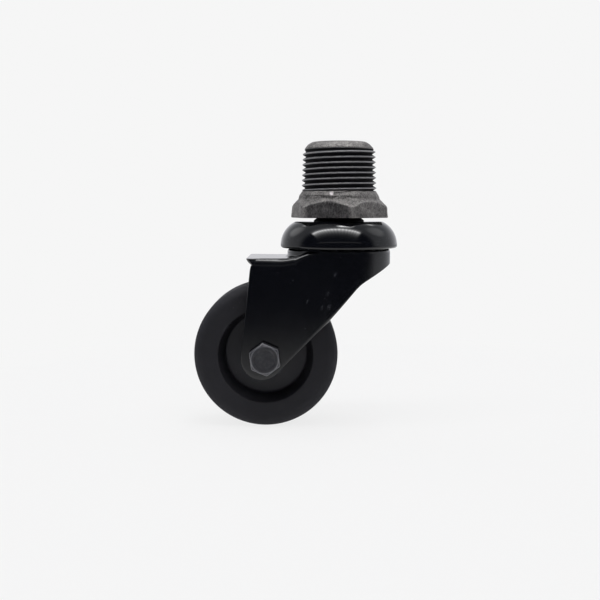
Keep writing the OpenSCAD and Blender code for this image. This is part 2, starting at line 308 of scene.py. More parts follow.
def grooved(points: Array, track: Triple) -> Array:
    """Presses a groove for balls into a surface.

    The balls sweep a ring of radius r about the circle (R, Z). A point at (p, z), with p its distance from
    the Z axis, moves to (R, Z) + max(r / d, 1) (p - R, z - Z), with d its distance from (R, Z).

    Args:
        points: Points of the surface.
        track: The ring's R, Z and r.

    Returns:
        The points, with none inside the ring.
    """
    ring_r, ring_z, radius = track
    flat = np.hypot(points[..., 0], points[..., 1])
    away = np.stack([flat - ring_r, points[..., 2] - ring_z], axis=-1)
    away *= np.maximum(radius / np.maximum(np.linalg.norm(away, axis=-1), TINY), 1)[..., None]
    spread = ((ring_r + away[..., 0]) / np.maximum(flat, TINY))[..., None]
    return np.concatenate([points[..., :2] * spread, ring_z + away[..., 1:]], axis=-1)


@dataclass
class Patch:
    """Grid of points that becomes one sheet of four-sided faces."""

    points: Array
    closed_rows: bool = False
    closed_columns: bool = False
    marks: dict[str, Array] = field(default_factory=dict)

    def faces(self, start: int) -> NDArray[np.int64]:
        """Numbers the corners of the faces.

        Args:
            start: Number of the grid's first point.

        Returns:
            Four corners for each face.
        """
        rows, columns = self.points.shape[:2]
        number = np.arange(start, start + rows * columns).reshape(rows, columns)
        if self.closed_rows:
            number = np.concatenate([number, number[:1]], axis=0)
        if self.closed_columns:
            number = np.concatenate([number, number[:, :1]], axis=1)
        corners = (number[:-1, :-1], number[1:, :-1], number[1:, 1:], number[:-1, 1:])
        return np.stack(corners, axis=-1).reshape(-1, 4)

    def mirrored(self) -> Patch:
        """The same patch on the other side of the plane y = 0."""
        return Patch(self.points * FLIP_Y, self.closed_rows, self.closed_columns, self.marks)


def fill_mesh(name: str, patches: Sequence[Patch], sharp: float) -> bpy.types.Mesh:
    """Puts patches into one mesh, welds their seams and turns the faces outwards.

    Args:
        name: Name of the mesh.
        patches: Grids of points in millimetres.
        sharp: Angle in degrees above which an edge isn't shaded smooth.

    Returns:
        The mesh, in metres.
    """
    points = np.concatenate([p.points.reshape(-1, 3) for p in patches]) * MM
    starts = np.cumsum([0] + [p.points.shape[0] * p.points.shape[1] for p in patches])
    faces = np.concatenate([p.faces(int(s)) for p, s in zip(patches, starts)])
    mesh = bpy.data.meshes.new(name)
    mesh.vertices.add(len(points))
    mesh.vertices.foreach_set("co", points.ravel())
    mesh.loops.add(faces.size)
    mesh.loops.foreach_set("vertex_index", faces.ravel())
    mesh.polygons.add(len(faces))
    mesh.polygons.foreach_set("loop_start", np.arange(0, faces.size, 4))
    mesh.update(calc_edges=True)
    for mark in patches[0].marks:
        layer = mesh.attributes.new(mark, "FLOAT", "POINT")
        values = np.concatenate([p.marks[mark].ravel() for p in patches])
        layer.data.foreach_set("value", values.astype(np.float32))
    welded = bmesh.new()
    welded.from_mesh(mesh)
    bmesh.ops.remove_doubles(welded, verts=welded.verts, dist=WELD)
    bmesh.ops.recalc_face_normals(welded, faces=welded.faces)
    welded.to_mesh(mesh)
    welded.free()
    mesh.shade_smooth()
    mesh.set_sharp_from_angle(angle=math.radians(sharp))
    return mesh


# Shader expressions


class Value:
    """A number in a shader; arithmetic on it adds Math nodes."""

    def __init__(self, graph: Graph, socket: bpy.types.NodeSocket) -> None:
        """Wraps an output socket of a graph."""
        self.graph = graph
        self.socket = socket

    def math(self, operation: str, *others: Value | float) -> Value:
        """Adds a Math node that takes this value and then the others."""
        inputs = dict(enumerate([self, *others]))
        return self.graph.add("ShaderNodeMath", {"operation": operation}, inputs)

    def reflected(self, operation: str, other: Value | float) -> Value:
        """Adds a Math node that takes the other value and then this one."""
        return self.graph.add("ShaderNodeMath", {"operation": operation}, {0: other, 1: self})

    def __add__(self, other: Value | float) -> Value:
        """Sum."""
        return self.math("ADD", other)

    def __radd__(self, other: float) -> Value:
        """Sum with a number on the left."""
        return self.math("ADD", other)

    def __sub__(self, other: Value | float) -> Value:
        """Difference."""
        return self.math("SUBTRACT", other)

    def __rsub__(self, other: float) -> Value:
        """Difference from a number on the left."""
        return self.reflected("SUBTRACT", other)

    def __mul__(self, other: Value | float) -> Value:
        """Product."""
        return self.math("MULTIPLY", other)

    def __rmul__(self, other: float) -> Value:
        """Product with a number on the left."""
        return self.math("MULTIPLY", other)

    def __truediv__(self, other: Value | float) -> Value:
        """Quotient."""
        return self.math("DIVIDE", other)

    def most(self, other: Value | float) -> Value:
        """The larger of two values."""
        return self.math("MAXIMUM", other)

    def grade(self, low: float, high: float) -> Value:
        """Rises smoothly from 0 at low to 1 at high.

        Args:
            low: Value at which the rise starts.
            high: Value at which it ends; it may be below low, for a fall.

        Returns:
            The grade.
        """
        settings = {"interpolation_type": "SMOOTHSTEP"}
        inputs = {"Value": self, "From Min": low, "From Max": high}
        return self.graph.add("ShaderNodeMapRange", settings, inputs)


class Graph:
    """The nodes of one material or world, which it adds by name."""

    def __init__(self, tree: bpy.types.NodeTree) -> None:
        """Empties a node tree and keeps it."""
        self.tree = tree
        tree.nodes.clear()

    def node(
        self,
        kind: str,
        settings: Mapping[str, object] | None = None,
        inputs: Mapping[int | str, object] | None = None,
    ) -> bpy.types.Node:
        """Adds a node.

        Args:
            kind: The node's type.
            settings: Properties of the node, which are set first.
            inputs: Values or links of its sockets, by name or number.

        Returns:
            The node.
        """
        made = self.tree.nodes.new(kind)
        for name, setting in (settings or {}).items():
            setattr(made, name, setting)
        for key, given in (inputs or {}).items():
            if isinstance(given, Value):
                self.tree.links.new(given.socket, made.inputs[key])
            elif isinstance(given, tuple) and made.inputs[key].type == "RGBA":
                made.inputs[key].default_value = (*given, 1.0)
            else:
                made.inputs[key].default_value = given
        return made

    def add(
        self,
        kind: str,
        settings: Mapping[str, object] | None = None,
        inputs: Mapping[int | str, object] | None = None,
        output: int | str = 0,
    ) -> Value:
        """Adds a node as node() does and returns one of its outputs."""
        return Value(self, self.node(kind, settings, inputs).outputs[output])

    def place(self) -> Value:
        """Point of the surface in the piece's own frame, in metres."""
        return self.add("ShaderNodeTexCoord", output="Object")

    def mark(self, name: str) -> Value:
        """A number that the mesh carries at each point."""
        return self.add("ShaderNodeAttribute", {"attribute_name": name}, output="Fac")

    def stretched(self, vector: Value, scale: Triple) -> Value:
        """A vector with each coordinate multiplied."""
        return self.add("ShaderNodeVectorMath", {"operation": "MULTIPLY"}, {0: vector, 1: scale})

    def axis(self, vector: Value, name: str) -> Value:
        """One coordinate of a vector, by its letter."""
        return self.add("ShaderNodeSeparateXYZ", None, {0: vector}, output=name)

    def noise(self, vector: Value, size: float, detail: float = 3.0, rough: float = 0.55) -> Value:
        """Cloudy noise from 0 to 1.

        Args:
            vector: Where to read it.
            size: Size of its clouds in millimetres.
            detail: Octaves of finer noise.
            rough: Strength of each finer octave.

        Returns:
            The noise.
        """
        inputs = {"Vector": vector, "Scale": 1 / (size * MM), "Detail": detail, "Roughness": rough}
        return self.add("ShaderNodeTexNoise", None, inputs)

    def cells(self, vector: Value, size: float) -> Value:
        """Distance from the nearest of scattered points, in cells of a size in millimetres."""
        inputs = {"Vector": vector, "Scale": 1 / (size * MM)}
        return self.add("ShaderNodeTexVoronoi", None, inputs, output="Distance")

    def blend(self, factor: Value, first: Value | Colour, second: Value | Colour) -> Value:
        """Colour between two others."""
        inputs = {0: factor, 6: first, 7: second}
        return self.add("ShaderNodeMix", {"data_type": "RGBA"}, inputs, output=2)

    def bump(self, height: Value, depth: float) -> Value:
        """Normal of a surface with fine relief of a depth in millimetres."""
        inputs = {"Height": height, "Distance": depth * MM, "Strength": 1.0}
        return self.add("ShaderNodeBump", None, inputs)

    def surface(self, **sockets: object) -> Value:
        """Principled shader; a socket is named in lower case with underscores."""
        names = (name.replace("_", " ").title().replace("Ior", "IOR") for name in sockets)
        return self.add("ShaderNodeBsdfPrincipled", None, dict(zip(names, sockets.values())))

    def light(self, colour: Value | Colour) -> Value:
        """Plain emission."""
        return self.add("ShaderNodeEmission", None, {"Color": colour, "Strength": 1.0})

    def mix(self, factor: Value, first: Value, second: Value) -> Value:
        """Mix of two shaders."""
        return self.add("ShaderNodeMixShader", None, {0: factor, 1: first, 2: second})

    def end(self, shader: Value, kind: str = "ShaderNodeOutputMaterial") -> None:
        """Joins a shader to the output."""
        self.node(kind, None, {"Surface": shader})


# Finishes


@dataclass(frozen=True)
class Finish:
    """A finish that is made into a material once."""

    name: str

    def material(self) -> bpy.types.Material:
        """Makes the finish's material on the first call.

        Returns:
            The material.
        """
        made = bpy.data.materials.get(self.name)
        if made is None:
            made = bpy.data.materials.new(self.name)
            made.use_nodes = True
            graph = Graph(made.node_tree)
            graph.end(self.shade(graph))
        return made

    def shade(self, graph: Graph) -> Value:
        """Builds the shader and returns it."""
        raise NotImplementedError


@dataclass(frozen=True)
class CastIron(Finish):
    """Cast malleable iron: rough skin, with a thread cut into it."""

    skin_dark: Colour = (0.052, 0.050, 0.049)
    skin_light: Colour = (0.325, 0.312, 0.302)
    # Painted shade: colours of the hexagon's face that looks into the tent's dim mouth.
    painted_shade_dark: Colour = (0.018, 0.017, 0.018)
    painted_shade_light: Colour = (0.155, 0.148, 0.148)
    # Root: painted shade in the thread's flanks and the folds. Crest: worn metal of the crests, also a
    # painted highlight.
    root: Colour = (0.006, 0.006, 0.007)
    crest: Colour = (0.34, 0.34, 0.35)
    bare: Colour = (0.58, 0.54, 0.55)
    grain_size: float = 0.55
    blotch_size: float = 3.2
    streak_size: float = 0.36
    streak_stretch: Triple = (1.0, 1.0, 0.35)
    grain_depth: float = 0.26
    skin_metal: float = 0.85
    root_gloss: float = 0.12

    def shade(self, graph: Graph) -> Value:
        """Blotched, ribbed skin; painted shade on one face and the thread's flanks; painted highlights on
        edges and worn crests; a bare nick.

        Args:
            graph: Nodes of the material.

        Returns:
            The shader.
        """
        place = graph.place()
        blotch = graph.noise(place, self.blotch_size, 4.0)
        grain = graph.noise(place, self.grain_size, 5.0, 0.65)
        streak = graph.noise(graph.stretched(place, self.streak_stretch), self.streak_size, 3.0)
        cut = graph.mark("cut")
        crest = graph.mark("crest")
        bare = graph.mark("bare")
        crack = graph.mark("crack")
        tone = (blotch * 0.35 + grain * 0.45 + streak * 0.4).grade(0.40, 0.82)
        painted_shade = graph.blend(tone, self.painted_shade_dark, self.painted_shade_light)
        # Painted shade: the face towards the tent's dim mouth takes the darker colours.
        skin = graph.blend(graph.mark("painted_shade"), graph.blend(tone, self.skin_dark, self.skin_light), painted_shade)
        # Painted highlight on the hexagon's upright edges, broken up by the grain.
        skin = graph.blend(graph.mark("edge") * grain.grade(0.2, 0.6), skin, self.skin_light)
        # Crests stay light: worn metal, and a painted highlight.
        worn = crest.grade(0.62, 1.0) * (0.45 + grain * 0.8)
        shine = (bare * grain * 1.8).grade(0.2, 0.75)
        metal_colour = graph.blend(shine, graph.blend(cut, skin, self.crest), self.bare)
        relief = (grain * 0.6 + streak * 0.5 + blotch * 0.4) * (1 - cut * 0.85)
        normal = graph.bump(relief, self.grain_depth)
        rough = 0.44 + grain * 0.28 - cut * 0.10
        skin_metal = (shine * 0.9).most(self.skin_metal)
        light = graph.surface(base_color=metal_colour, roughness=rough, metallic=skin_metal, normal=normal)
        dark = graph.surface(base_color=self.root, roughness=0.7, specular_ior_level=self.root_gloss)
        # Painted shade: the thread's flanks and the folds mix to the dark root.
        shade = (cut * (1 - worn)).most(crack)
        return graph.mix(shade, light, dark)


@dataclass(frozen=True)
class Paint(Finish):
    """Black stoved paint: a dark coat with orange peel, dust and fine rubs."""

    colour: Colour = (0.0020, 0.0022, 0.0031)
    dust: Colour = (0.10, 0.105, 0.12)
    rough: float = 0.11
    rub: float = 0.06
    cloud_size: float = 7.0
    fine_size: float = 0.25
    streak_size: float = 0.5
    streak_stretch: Triple = (1.0, 1.0, 0.1)
    speck_gap: float = 2.6
    peel_size: float = 1.6
    peel_depth: float = 0.006
    dust_share: float = 0.5

    def shade(self, graph: Graph) -> Value:
        """Dark coat, duller in cloudy rubs, with scattered dust and the scuffs that the mesh carries.

        Args:
            graph: Nodes of the material.

        Returns:
            The shader.
        """
        place = graph.place()
        cloud = graph.noise(place, self.cloud_size, 3.0)
        peel = graph.noise(place, self.peel_size, 2.0)
        fine = graph.noise(place, self.fine_size, 2.0)
        streak = graph.noise(graph.stretched(place, self.streak_stretch), self.streak_size, 2.0)
        speck = graph.cells(place, self.speck_gap).grade(0.09, 0.03) * cloud.grade(0.45, 0.7)
        scuff = graph.mark("scuff")
        rub = streak.grade(0.62, 0.85) * cloud.grade(0.4, 0.75)
        light = (speck * self.dust_share).most(scuff) * fine.grade(0.2, 0.65)
        colour = graph.blend(light, self.colour, self.dust)
        rough = self.rough + cloud * self.rub + rub * 0.12 + light * 0.3
        normal = graph.bump(peel + fine * 0.08, self.peel_depth)
        return graph.surface(base_color=colour, roughness=rough, normal=normal)


@dataclass(frozen=True)
class MouldedPlastic(Finish):
    """Hard black moulded plastic with a fine eroded grain."""

    dark: Colour = (0.0070, 0.0068, 0.0096)
    pale: Colour = (0.0124, 0.0120, 0.0162)
    # Painted light: paler colour of the recesses, standing in for light that reaches them.
    recess_painted_light: Colour = (0.0270, 0.0265, 0.0325)
    dust: Colour = (0.09, 0.09, 0.09)
    rough: float = 0.58
    gloss: float = 0.3
    flow_size: float = 9.0
    speck_gap: float = 3.1
    grain_size: float = 0.35
    grain_depth: float = 0.03

    def shade(self, graph: Graph) -> Value:
        """Grain and faint flow clouds, with smoother recesses painted paler as painted light, and a tread
        dulled by rolling.

        Args:
            graph: Nodes of the material.

        Returns:
            The shader.
        """
        place = graph.place()
        flow = graph.noise(place, self.flow_size, 3.0)
        grain = graph.noise(place, self.grain_size, 3.0, 0.6)
        speck = graph.cells(place, self.speck_gap).grade(0.1, 0.04) * flow.grade(0.5, 0.7)
        rolled = graph.mark("rolled")
        inside = graph.mark("inside")
        tone = flow * 0.5 + grain * 0.4 + rolled * 0.25
        colour = graph.blend(tone.grade(0.25, 0.8), self.dark, self.pale)
        # Painted light: the recess turns paler.
        colour = graph.blend(inside * (0.6 + flow * 0.6), colour, self.recess_painted_light)
        colour = graph.blend(speck * 0.5, colour, self.dust)
        rough = self.rough + grain * 0.12 + rolled * 0.15 - inside * 0.2
        normal = graph.bump(grain + speck * 0.5, self.grain_depth)
        return graph.surface(base_color=colour, roughness=rough, normal=normal, specular_ior_level=self.gloss)


@dataclass(frozen=True)
class BlackSteel(Finish):
    """Blackened steel of bolts and turned parts."""

    dark: Colour = (0.020, 0.020, 0.024)
    pale: Colour = (0.23, 0.23, 0.245)
    metal: float = 0.35
    rough: float = 0.36
    cloud_size: float = 1.1
    grain_size: float = 0.22
    grain_depth: float = 0.02

    def shade(self, graph: Graph) -> Value:
        """Dark oxide, rubbed paler where the mesh marks a worn edge, which on the bolt's head is also a
        painted highlight, with fine grain.

        Args:
            graph: Nodes of the material.

        Returns:
            The shader.
        """
        place = graph.place()
        cloud = graph.noise(place, self.cloud_size, 4.0, 0.65)
        grain = graph.noise(place, self.grain_size, 3.0)
        worn = graph.mark("worn")
        tone = (cloud * 0.6 + grain * 0.4).grade(0.4, 0.75) * 0.12 + worn * grain.grade(0.2, 0.7) * 0.8
        colour = graph.blend(tone, self.dark, self.pale)
        rough = self.rough + grain * 0.16 - worn * 0.08
        normal = graph.bump(grain + cloud * 0.5, self.grain_depth)
        return graph.surface(base_color=colour, roughness=rough, metallic=self.metal, normal=normal)


@dataclass(frozen=True)
class BrightSteel(Finish):
    """Plain steel of the balls, races and sleeve, with a film of grease."""

    steel: Colour = (0.52, 0.52, 0.53)
    grease: Colour = (0.20, 0.17, 0.11)
    rough: float = 0.16
    grease_share: float = 0.35
    cloud_size: float = 2.5
    line_size: float = 0.12
    line_stretch: Triple = (0.2, 0.2, 1.0)
    line_depth: float = 0.004

    def shade(self, graph: Graph) -> Value:
        """Steel with turning lines and a cloudy film.

        Args:
            graph: Nodes of the material.

        Returns:
            The shader.
        """
        place = graph.place()
        cloud = graph.noise(place, self.cloud_size, 4.0)
        line = graph.noise(graph.stretched(place, self.line_stretch), self.line_size, 2.0)
        film = cloud.grade(0.45, 0.7) * self.grease_share
        colour = graph.blend(film, self.steel, self.grease)
        rough = self.rough + film * 0.3 + line * 0.08
        normal = graph.bump(line, self.line_depth)
        return graph.surface(base_color=colour, roughness=rough, metallic=1.0, normal=normal)


@dataclass(frozen=True)
class Nylon(Finish):
    """Dyed nylon of the lock nut's ring."""

    dark: Colour = (0.012, 0.030, 0.070)
    pale: Colour = (0.030, 0.065, 0.130)
    rough: float = 0.38
    cloud_size: float = 1.2
    cloud_depth: float = 0.02

    def shade(self, graph: Graph) -> Value:
        """Waxy plastic with soft clouds.

        Args:
            graph: Nodes of the material.

        Returns:
            The shader.
        """
        place = graph.place()
        cloud = graph.noise(place, self.cloud_size, 3.0)
        colour = graph.blend(cloud, self.dark, self.pale)
        normal = graph.bump(cloud, self.cloud_depth)
        return graph.surface(base_color=colour, roughness=self.rough + cloud * 0.2, normal=normal)


CAST_IRON = CastIron("cast_iron_skin")
GLOSS_PAINT = Paint("gloss_black_paint", rough=0.055, rub=0.03, dust_share=0.15)
FORK_PAINT = Paint("fork_black_paint")
WHEEL_PLASTIC = MouldedPlastic("wheel_moulding")
BOLT_STEEL = BlackSteel("bolt_blackening")
STEM_STEEL = BlackSteel("stem_blackening", metal=0.6, rough=0.4)
RACE_STEEL = BrightSteel("race_steel_film", rough=0.26)
BALL_STEEL = BrightSteel("ball_steel_polish", rough=0.08, grease_share=0.2)
NYLON = Nylon("nylon_ring_dye")


def link_object(name: str, data: bpy.types.ID) -> bpy.types.Object:
    """Adds an object to the scene.

    Args:
        name: Its name.
        data: Its mesh or camera.

    Returns:
        The object.
    """
    made = bpy.data.objects.new(name, data)
    bpy.context.scene.collection.objects.link(made)
    return made


def add_piece(
    name: str,
    patches: Sequence[Patch],
    finish: Finish,
    body: Body,
    sharp: float = 40.0,
) -> bpy.types.Object:
    """Makes one piece, dresses it and lets it stand for the solid of the same purpose.

    Args:
        name: Name of the solid; the piece is named after it.
        patches: Grids of points in millimetres.
        finish: Finish of the piece.
        body: Body that it rides on.
        sharp: Angle in degrees above which an edge isn't shaded smooth.

    Returns:
        The piece.
    """
    mesh = fill_mesh(name + "_skin", patches, sharp)
    mesh.materials.append(finish.material())
    piece = link_object(name + "_skin", mesh)
    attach(piece, body.value)
    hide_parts(name)
    LOG.info("%s: %d points, %d faces", piece.name, len(mesh.vertices), len(mesh.polygons))
    return piece


def dress_solid(solid: bpy.types.Object, finish: Finish) -> None:
    """Gives a solid that shows as it is a finish in place of its plain colour."""
    solid.data.materials.clear()
    solid.data.materials.append(finish.material())


# Sub-assemblies


@dataclass
class ReducingBush:
    """Cast bush with a hexagon head and a taper pipe thread."""

    thread_foot_r: float = 13.25
    thread_depth: float = 1.12
    thread_top: float = 13.7
    thread_foot: float = -0.4
    thread_start: float = -0.435
    pitch: float = 1.814
    taper: float = 1 / 32
    land: float = 0.13
    cut_foot: Pair = (-0.72, -0.5)
    cut_top: Pair = (14.3, 13.8)
    ridge_foot: Pair = (-0.75, -0.25)
    nose_r: float = 12.3
    nose_slope: float = 1.1
    nose: tuple[Pair, ...] = ((12.2, 13.75), (12.05, 14.4), (11.5, 15.1), (10.8, 15.85))
    top_r: Pair = (9.5, 8.9)
    top_z: float = 16.6
    foot_z: float = -10.0
    bore_r: float = 8.38
    mouth_z: float = 15.9
    seam_z: float = 3.0
    head_flat: float = 15.55
    head_corner_r: float = 2.4
    head_turn: float = 43.0
    draft: float = 0.18
    chamfer: float = 0.9
    neck_r: float = 14.35
    neck_z: float = -3.5
    shoulder: tuple[Pair, ...] = ((14.15, -2.3), (13.3, -1.0), (13.05, -0.65))
    lump: float = 0.07
    lump_wave: tuple[float, int] = (4.0, 3)
    fine_wave: tuple[float, int] = (1.3, 4)
    fine_share: float = 0.45
    chip: float = 0.35
    chip_wave: tuple[float, int] = (2.4, 9)
    chip_rise: Pair = (1.1, 1.9)
    nick_angle: float = -103.0
    nick_z: float = -1.5
    nick_lean: float = 0.15
    nick_spread: Pair = (0.55, 0.8)
    nick_depth: float = 0.3
    folds: tuple[tuple[Pair, ...], ...] = (
        ((-3.4, -1.4), (0.0, -1.7), (2.6, -0.9)),
        ((2.6, -1.1), (5.5, -1.2), (8.4, -1.5)),
        ((-13.0, -0.5), (-10.5, -0.95), (-4.5, -0.75), (-0.6, -1.2)),
        ((1.0, 0.0), (3.5, 0.3), (6.7, 0.6)),
    )
    fold_wave: tuple[float, int] = (2.0, 8)
    fold_w: float = 0.2
    fold_depth: float = 0.22
    face_fade: Pair = (0.35, -0.15)
    # Painted shade on the hexagon's face towards the tent's dim mouth.
    painted_shade_angle: float = -107.0
    painted_shade_fade: Pair = (28.0, 24.0)
    # Painted highlights on the hexagon's upright edges.
    edge_highlight_w: float = 0.5
    edge_highlight_share: float = 0.7
    columns: int = 320

    def crest(self, height: Array | float) -> Array | float:
        """Radius of the thread's crest, which falls by the taper from the shoulder up."""
        return self.thread_foot_r - self.taper * height

    def head(self, angle: Array) -> tuple[Array, Array]:
        """Hexagon's radius half way up its draft, and the height at which its sides meet the sloped top.

        That height falls from the neck's by the chamfer times how far the side stands out of the neck.

        Args:
            angle: Angles about the axis.

        Returns:
            The radii and the heights.
        """
        turned = angle - math.radians(self.head_turn) - SIXTH_TURN / 2
        radius = hexagon_radius(turned, self.head_flat, self.head_corner_r)
        return radius, self.neck_z - (radius - self.draft - self.neck_r) * self.chamfer

    def profile(self, angle: Array) -> Array:
        """Closed section of the bush at each angle, without its thread.

        Args:
            angle: Angles about the axis.

        Returns:
            Points (r, z) by angle.
        """
        hexagon, face_top = self.head(angle)
        corners = [
            (self.bore_r, self.seam_z),
            (self.bore_r, self.foot_z),
            (hexagon + self.draft, self.foot_z),
            (hexagon - self.draft, face_top),
            (self.neck_r, self.neck_z),
            *self.shoulder,
            (self.crest(self.thread_foot) - self.thread_depth, self.thread_foot),
            (self.crest(self.thread_top) - self.thread_depth, self.thread_top),
            *self.nose,
            *((r, self.top_z) for r in self.top_r),
            (self.bore_r, self.mouth_z),
            (self.bore_r, self.seam_z),
        ]
        cuts = np.array([0.2, 0.45, 0.35, 0.5, 0.6, 0.5, 0.2, 0.15, 0.1, 0.2, 0.4, 0.5, 0.5, 0.5, 0.3, 0.3])
        fill = [3, 6, 10, 9, 4, 5, 3, 2, 150, 1, 3, 4, 4, 4, 2, 1, 6]
        return eased_path(corner_rows(corners, angle), cuts, EASE_N, fill)[:, :-1]

    def faces(self, angle: Array, height: Array, outside: Array, lumps: Array) -> dict[str, Array]:
        """Marks of the hexagon: painted shade on one face, and painted highlights on its upright edges.

        The shaded face fades out at a few degrees short of its corners, with a ragged border. An edge's
        highlight is a hump of the distance round from the corner.

        Args:
            angle: Angles about the axis.
            height: Heights of the points.
            outside: Which points are on the outside.
            lumps: Unevenness of the casting.

        Returns:
            The marks painted_shade, which is painted shade, and edge, which is a painted highlight.
        """
        face_top = self.head(angle)[1][:, None]
        high, low = (face_top + fade for fade in self.face_fade)
        on_face = smooth_step(height + lumps * 2, high, low) * outside
        off = np.abs(wrapped(angle - math.radians(self.painted_shade_angle)))[:, None] + lumps * 0.15
        # Painted shade on the face towards the tent's dim mouth.
        painted_shade = smooth_step(off, *map(math.radians, self.painted_shade_fade)) * on_face
        from_corner = wrapped(angle - math.radians(self.head_turn), SIXTH_TURN)[:, None]
        # Painted highlight: a hump about each upright edge.
        edge = hump(from_corner * self.head_flat, self.edge_highlight_w) * on_face * self.edge_highlight_share
        return {"painted_shade": painted_shade, "edge": edge}

    def build(self) -> None:
        """Adds the thread, the casting's lumps and the nick to the section, and makes the piece.

        The ridge of the thread stands (crest - root) high, with the crest's radius falling by the taper.
        It fades out at the shoulder and is cut off by the nose.
        """
        angle = turn_angles(self.columns)
        section = self.profile(angle)
        radius, height = section[..., 0].copy(), section[..., 1]
        outside = radius > self.bore_r + 1.0
        cut = outside * smooth_step(height, *self.cut_foot) * smooth_step(height, *self.cut_top)
        nose_r = self.nose_r + (self.thread_top - height) * self.nose_slope
        crest_r = np.minimum(self.crest(height), nose_r)
        ridge = screw_ridge(angle[:, None], height - self.thread_start, self.pitch, self.land)
        ridge = ridge * smooth_step(height, *self.ridge_foot) * outside * (height < self.thread_top)
        radius = radius + ridge * np.maximum(crest_r - radius, 0)
        points = lathe(np.stack([radius, height], axis=-1), self.columns)
        arc = radius * wrapped(angle[:, None] - math.radians(self.nick_angle))
        rise = height - self.nick_z
        across, upward = self.nick_spread
        nick = np.exp(-((arc + self.nick_lean * rise) ** 2 / across + rise**2 / upward)) * outside
        crack = sum(hump(line_distance(arc, rise, fold), self.fold_w) for fold in self.folds) * outside
        crack = crack * (0.65 + 0.3 * waves(points, *self.fold_wave))
        fine = waves(points, *self.fine_wave) * self.lump * self.fine_share
        lumps = waves(points, *self.lump_wave) * self.lump + fine
        chip = smooth_step(waves(points, *self.chip_wave), *self.chip_rise) * ridge
        shift = lumps * (1 - 0.9 * cut) * outside - self.chip * chip
        shift = shift - self.nick_depth * nick - self.fold_depth * crack
        way = points * DROP_Z / np.maximum(radius, TINY)[..., None]
        points = points + way * shift[..., None]
        marks = {"cut": cut, "crest": ridge, "bare": nick, "crack": np.clip(crack, 0, 1)}
        marks |= self.faces(angle, height, outside, lumps)
        patch = Patch(points, closed_rows=True, closed_columns=True, marks=marks)
        add_piece("reducing_bush", [patch], CAST_IRON, Body.HEAD, sharp=50)


@dataclass
class KingStem:
    """Turned stem that holds the bush, the cap and the lower race together."""

    stem_r: float = 8.33
    end_z: float = 13.6
    bush_z: float = -10.0
    collar_top_r: float = 7.8
    collar_r: float = 8.95
    cap_z: float = -11.3
    shank_r: float = 5.0
    race_top_z: float = -19.87
    race_z: float = -22.07
    rivet_r: float = 4.0
    rivet_head_r: float = 6.5
    rivet_z: float = -23.47
    ease: float = 0.25
    rivet_ease: float = 0.6
    columns: int = 128

    def build(self) -> None:
        """Turns the stem's section, with a dished end and a hammered rivet head."""
        corners = np.array(
            [
                (0.0, self.end_z - 0.5),
                (2.4, self.end_z - 0.1),
                (3.0, self.end_z),
                (self.stem_r - 0.8, self.end_z),
                (self.stem_r, self.end_z - 0.8),
                (self.stem_r, self.bush_z),
                (self.collar_top_r, self.bush_z - 0.05),
                (self.collar_r, self.cap_z + 0.35),
                (self.collar_r, self.cap_z),
                (self.shank_r, self.cap_z),
                (self.shank_r, self.race_top_z),
                (self.rivet_r, self.race_top_z),
                (self.rivet_r, self.race_z),
                (self.rivet_head_r, self.race_z),
                (self.rivet_head_r - 0.3, self.race_z - 0.7),
                (self.rivet_head_r - 2.2, self.rivet_z + 0.15),
                (0.0, self.rivet_z),
            ]
        )
        cuts = np.full(len(corners) - 2, self.ease)
        cuts[[12, 13]] = self.rivet_ease
        fill = [3, 1, 6, 2, 12, 1, 2, 1, 3, 6, 1, 2, 2, 2, 3, 4]
        profile = eased_path(corners, cuts, EASE_N, fill)
        points = lathe(profile, self.columns)
        edge = hump(points[..., 2] - self.end_z, 0.5) * 0.8
        patch = Patch(points, closed_rows=True, marks={"worn": edge})
        add_piece("king_stem", [patch], STEM_STEEL, Body.HEAD)


@dataclass
class RacewayCap:
    """Domed pressing over the upper balls."""

    top_z: float = -11.3
    hole_r: float = 5.05
    top_r: float = 15.5
    dome_r: float = 9.186
    dome_at: Pair = (11.564, -19.6)
    rim_z: float = -20.6
    sheet: float = 1.5
    dome_n: int = 44
    rim_n: int = 14
    top_n: int = 40
    floor_n: int = 8
    ease_n: int = 7
    columns: int = 192

    def dome(self, depth: float) -> Array:
        """Dome's arc from the flat top to the rim's edge, at a depth below the outer face.

        It is (cx + R cos a, cz + R sin a), with a falling from the flat top's angle to the edge's.

        Args:
            depth: Depth below the outer face.

        Returns:
            Points (r, z).
        """
        radius = self.dome_r - depth
        top = self.top_z - depth - self.dome_at[1]
        edge = self.rim_z + self.sheet / 2 - self.dome_at[1]
        a = np.linspace(math.asin(top / radius), math.asin(edge / radius), self.dome_n)
        return np.stack([self.dome_at[0] + radius * np.cos(a), self.dome_at[1] + radius * np.sin(a)], axis=-1)

    def build(self) -> None:
        """Closes the section with the rounded rim, eases the top's edge and turns it."""
        rim_r = self.sheet / 2
        outer, inner = self.dome(0), self.dome(self.sheet)[::-1]
        a = np.linspace(0, -math.pi, self.rim_n)[1:-1]
        centre = (outer[-1] + inner[0]) / 2
        edge = centre + rim_r * np.stack([np.cos(a), np.sin(a)], axis=-1)
        top_r = np.linspace(self.hole_r, self.top_r, self.top_n)[:-1]
        top = np.stack([top_r, np.full_like(top_r, self.top_z)], axis=-1)
        outer = np.concatenate([top, outer])
        kernel = np.hanning(self.ease_n)[1:-1]
        kernel /= kernel.sum()
        outer[2:-2] = np.stack([np.convolve(c, kernel, mode="valid") for c in outer.T], axis=-1)
        floor_r = np.linspace(inner[-1, 0], self.hole_r, self.floor_n)[1:]
        floor = np.stack([floor_r, np.full_like(floor_r, self.top_z - self.sheet)], axis=-1)
        profile = np.concatenate([outer, edge, inner, floor])
        points = lathe(profile, self.columns)
        patch = Patch(points, True, True, {"scuff": np.zeros(points.shape[:2])})
        add_piece("raceway_cap", [patch], GLOSS_PAINT, Body.HEAD)


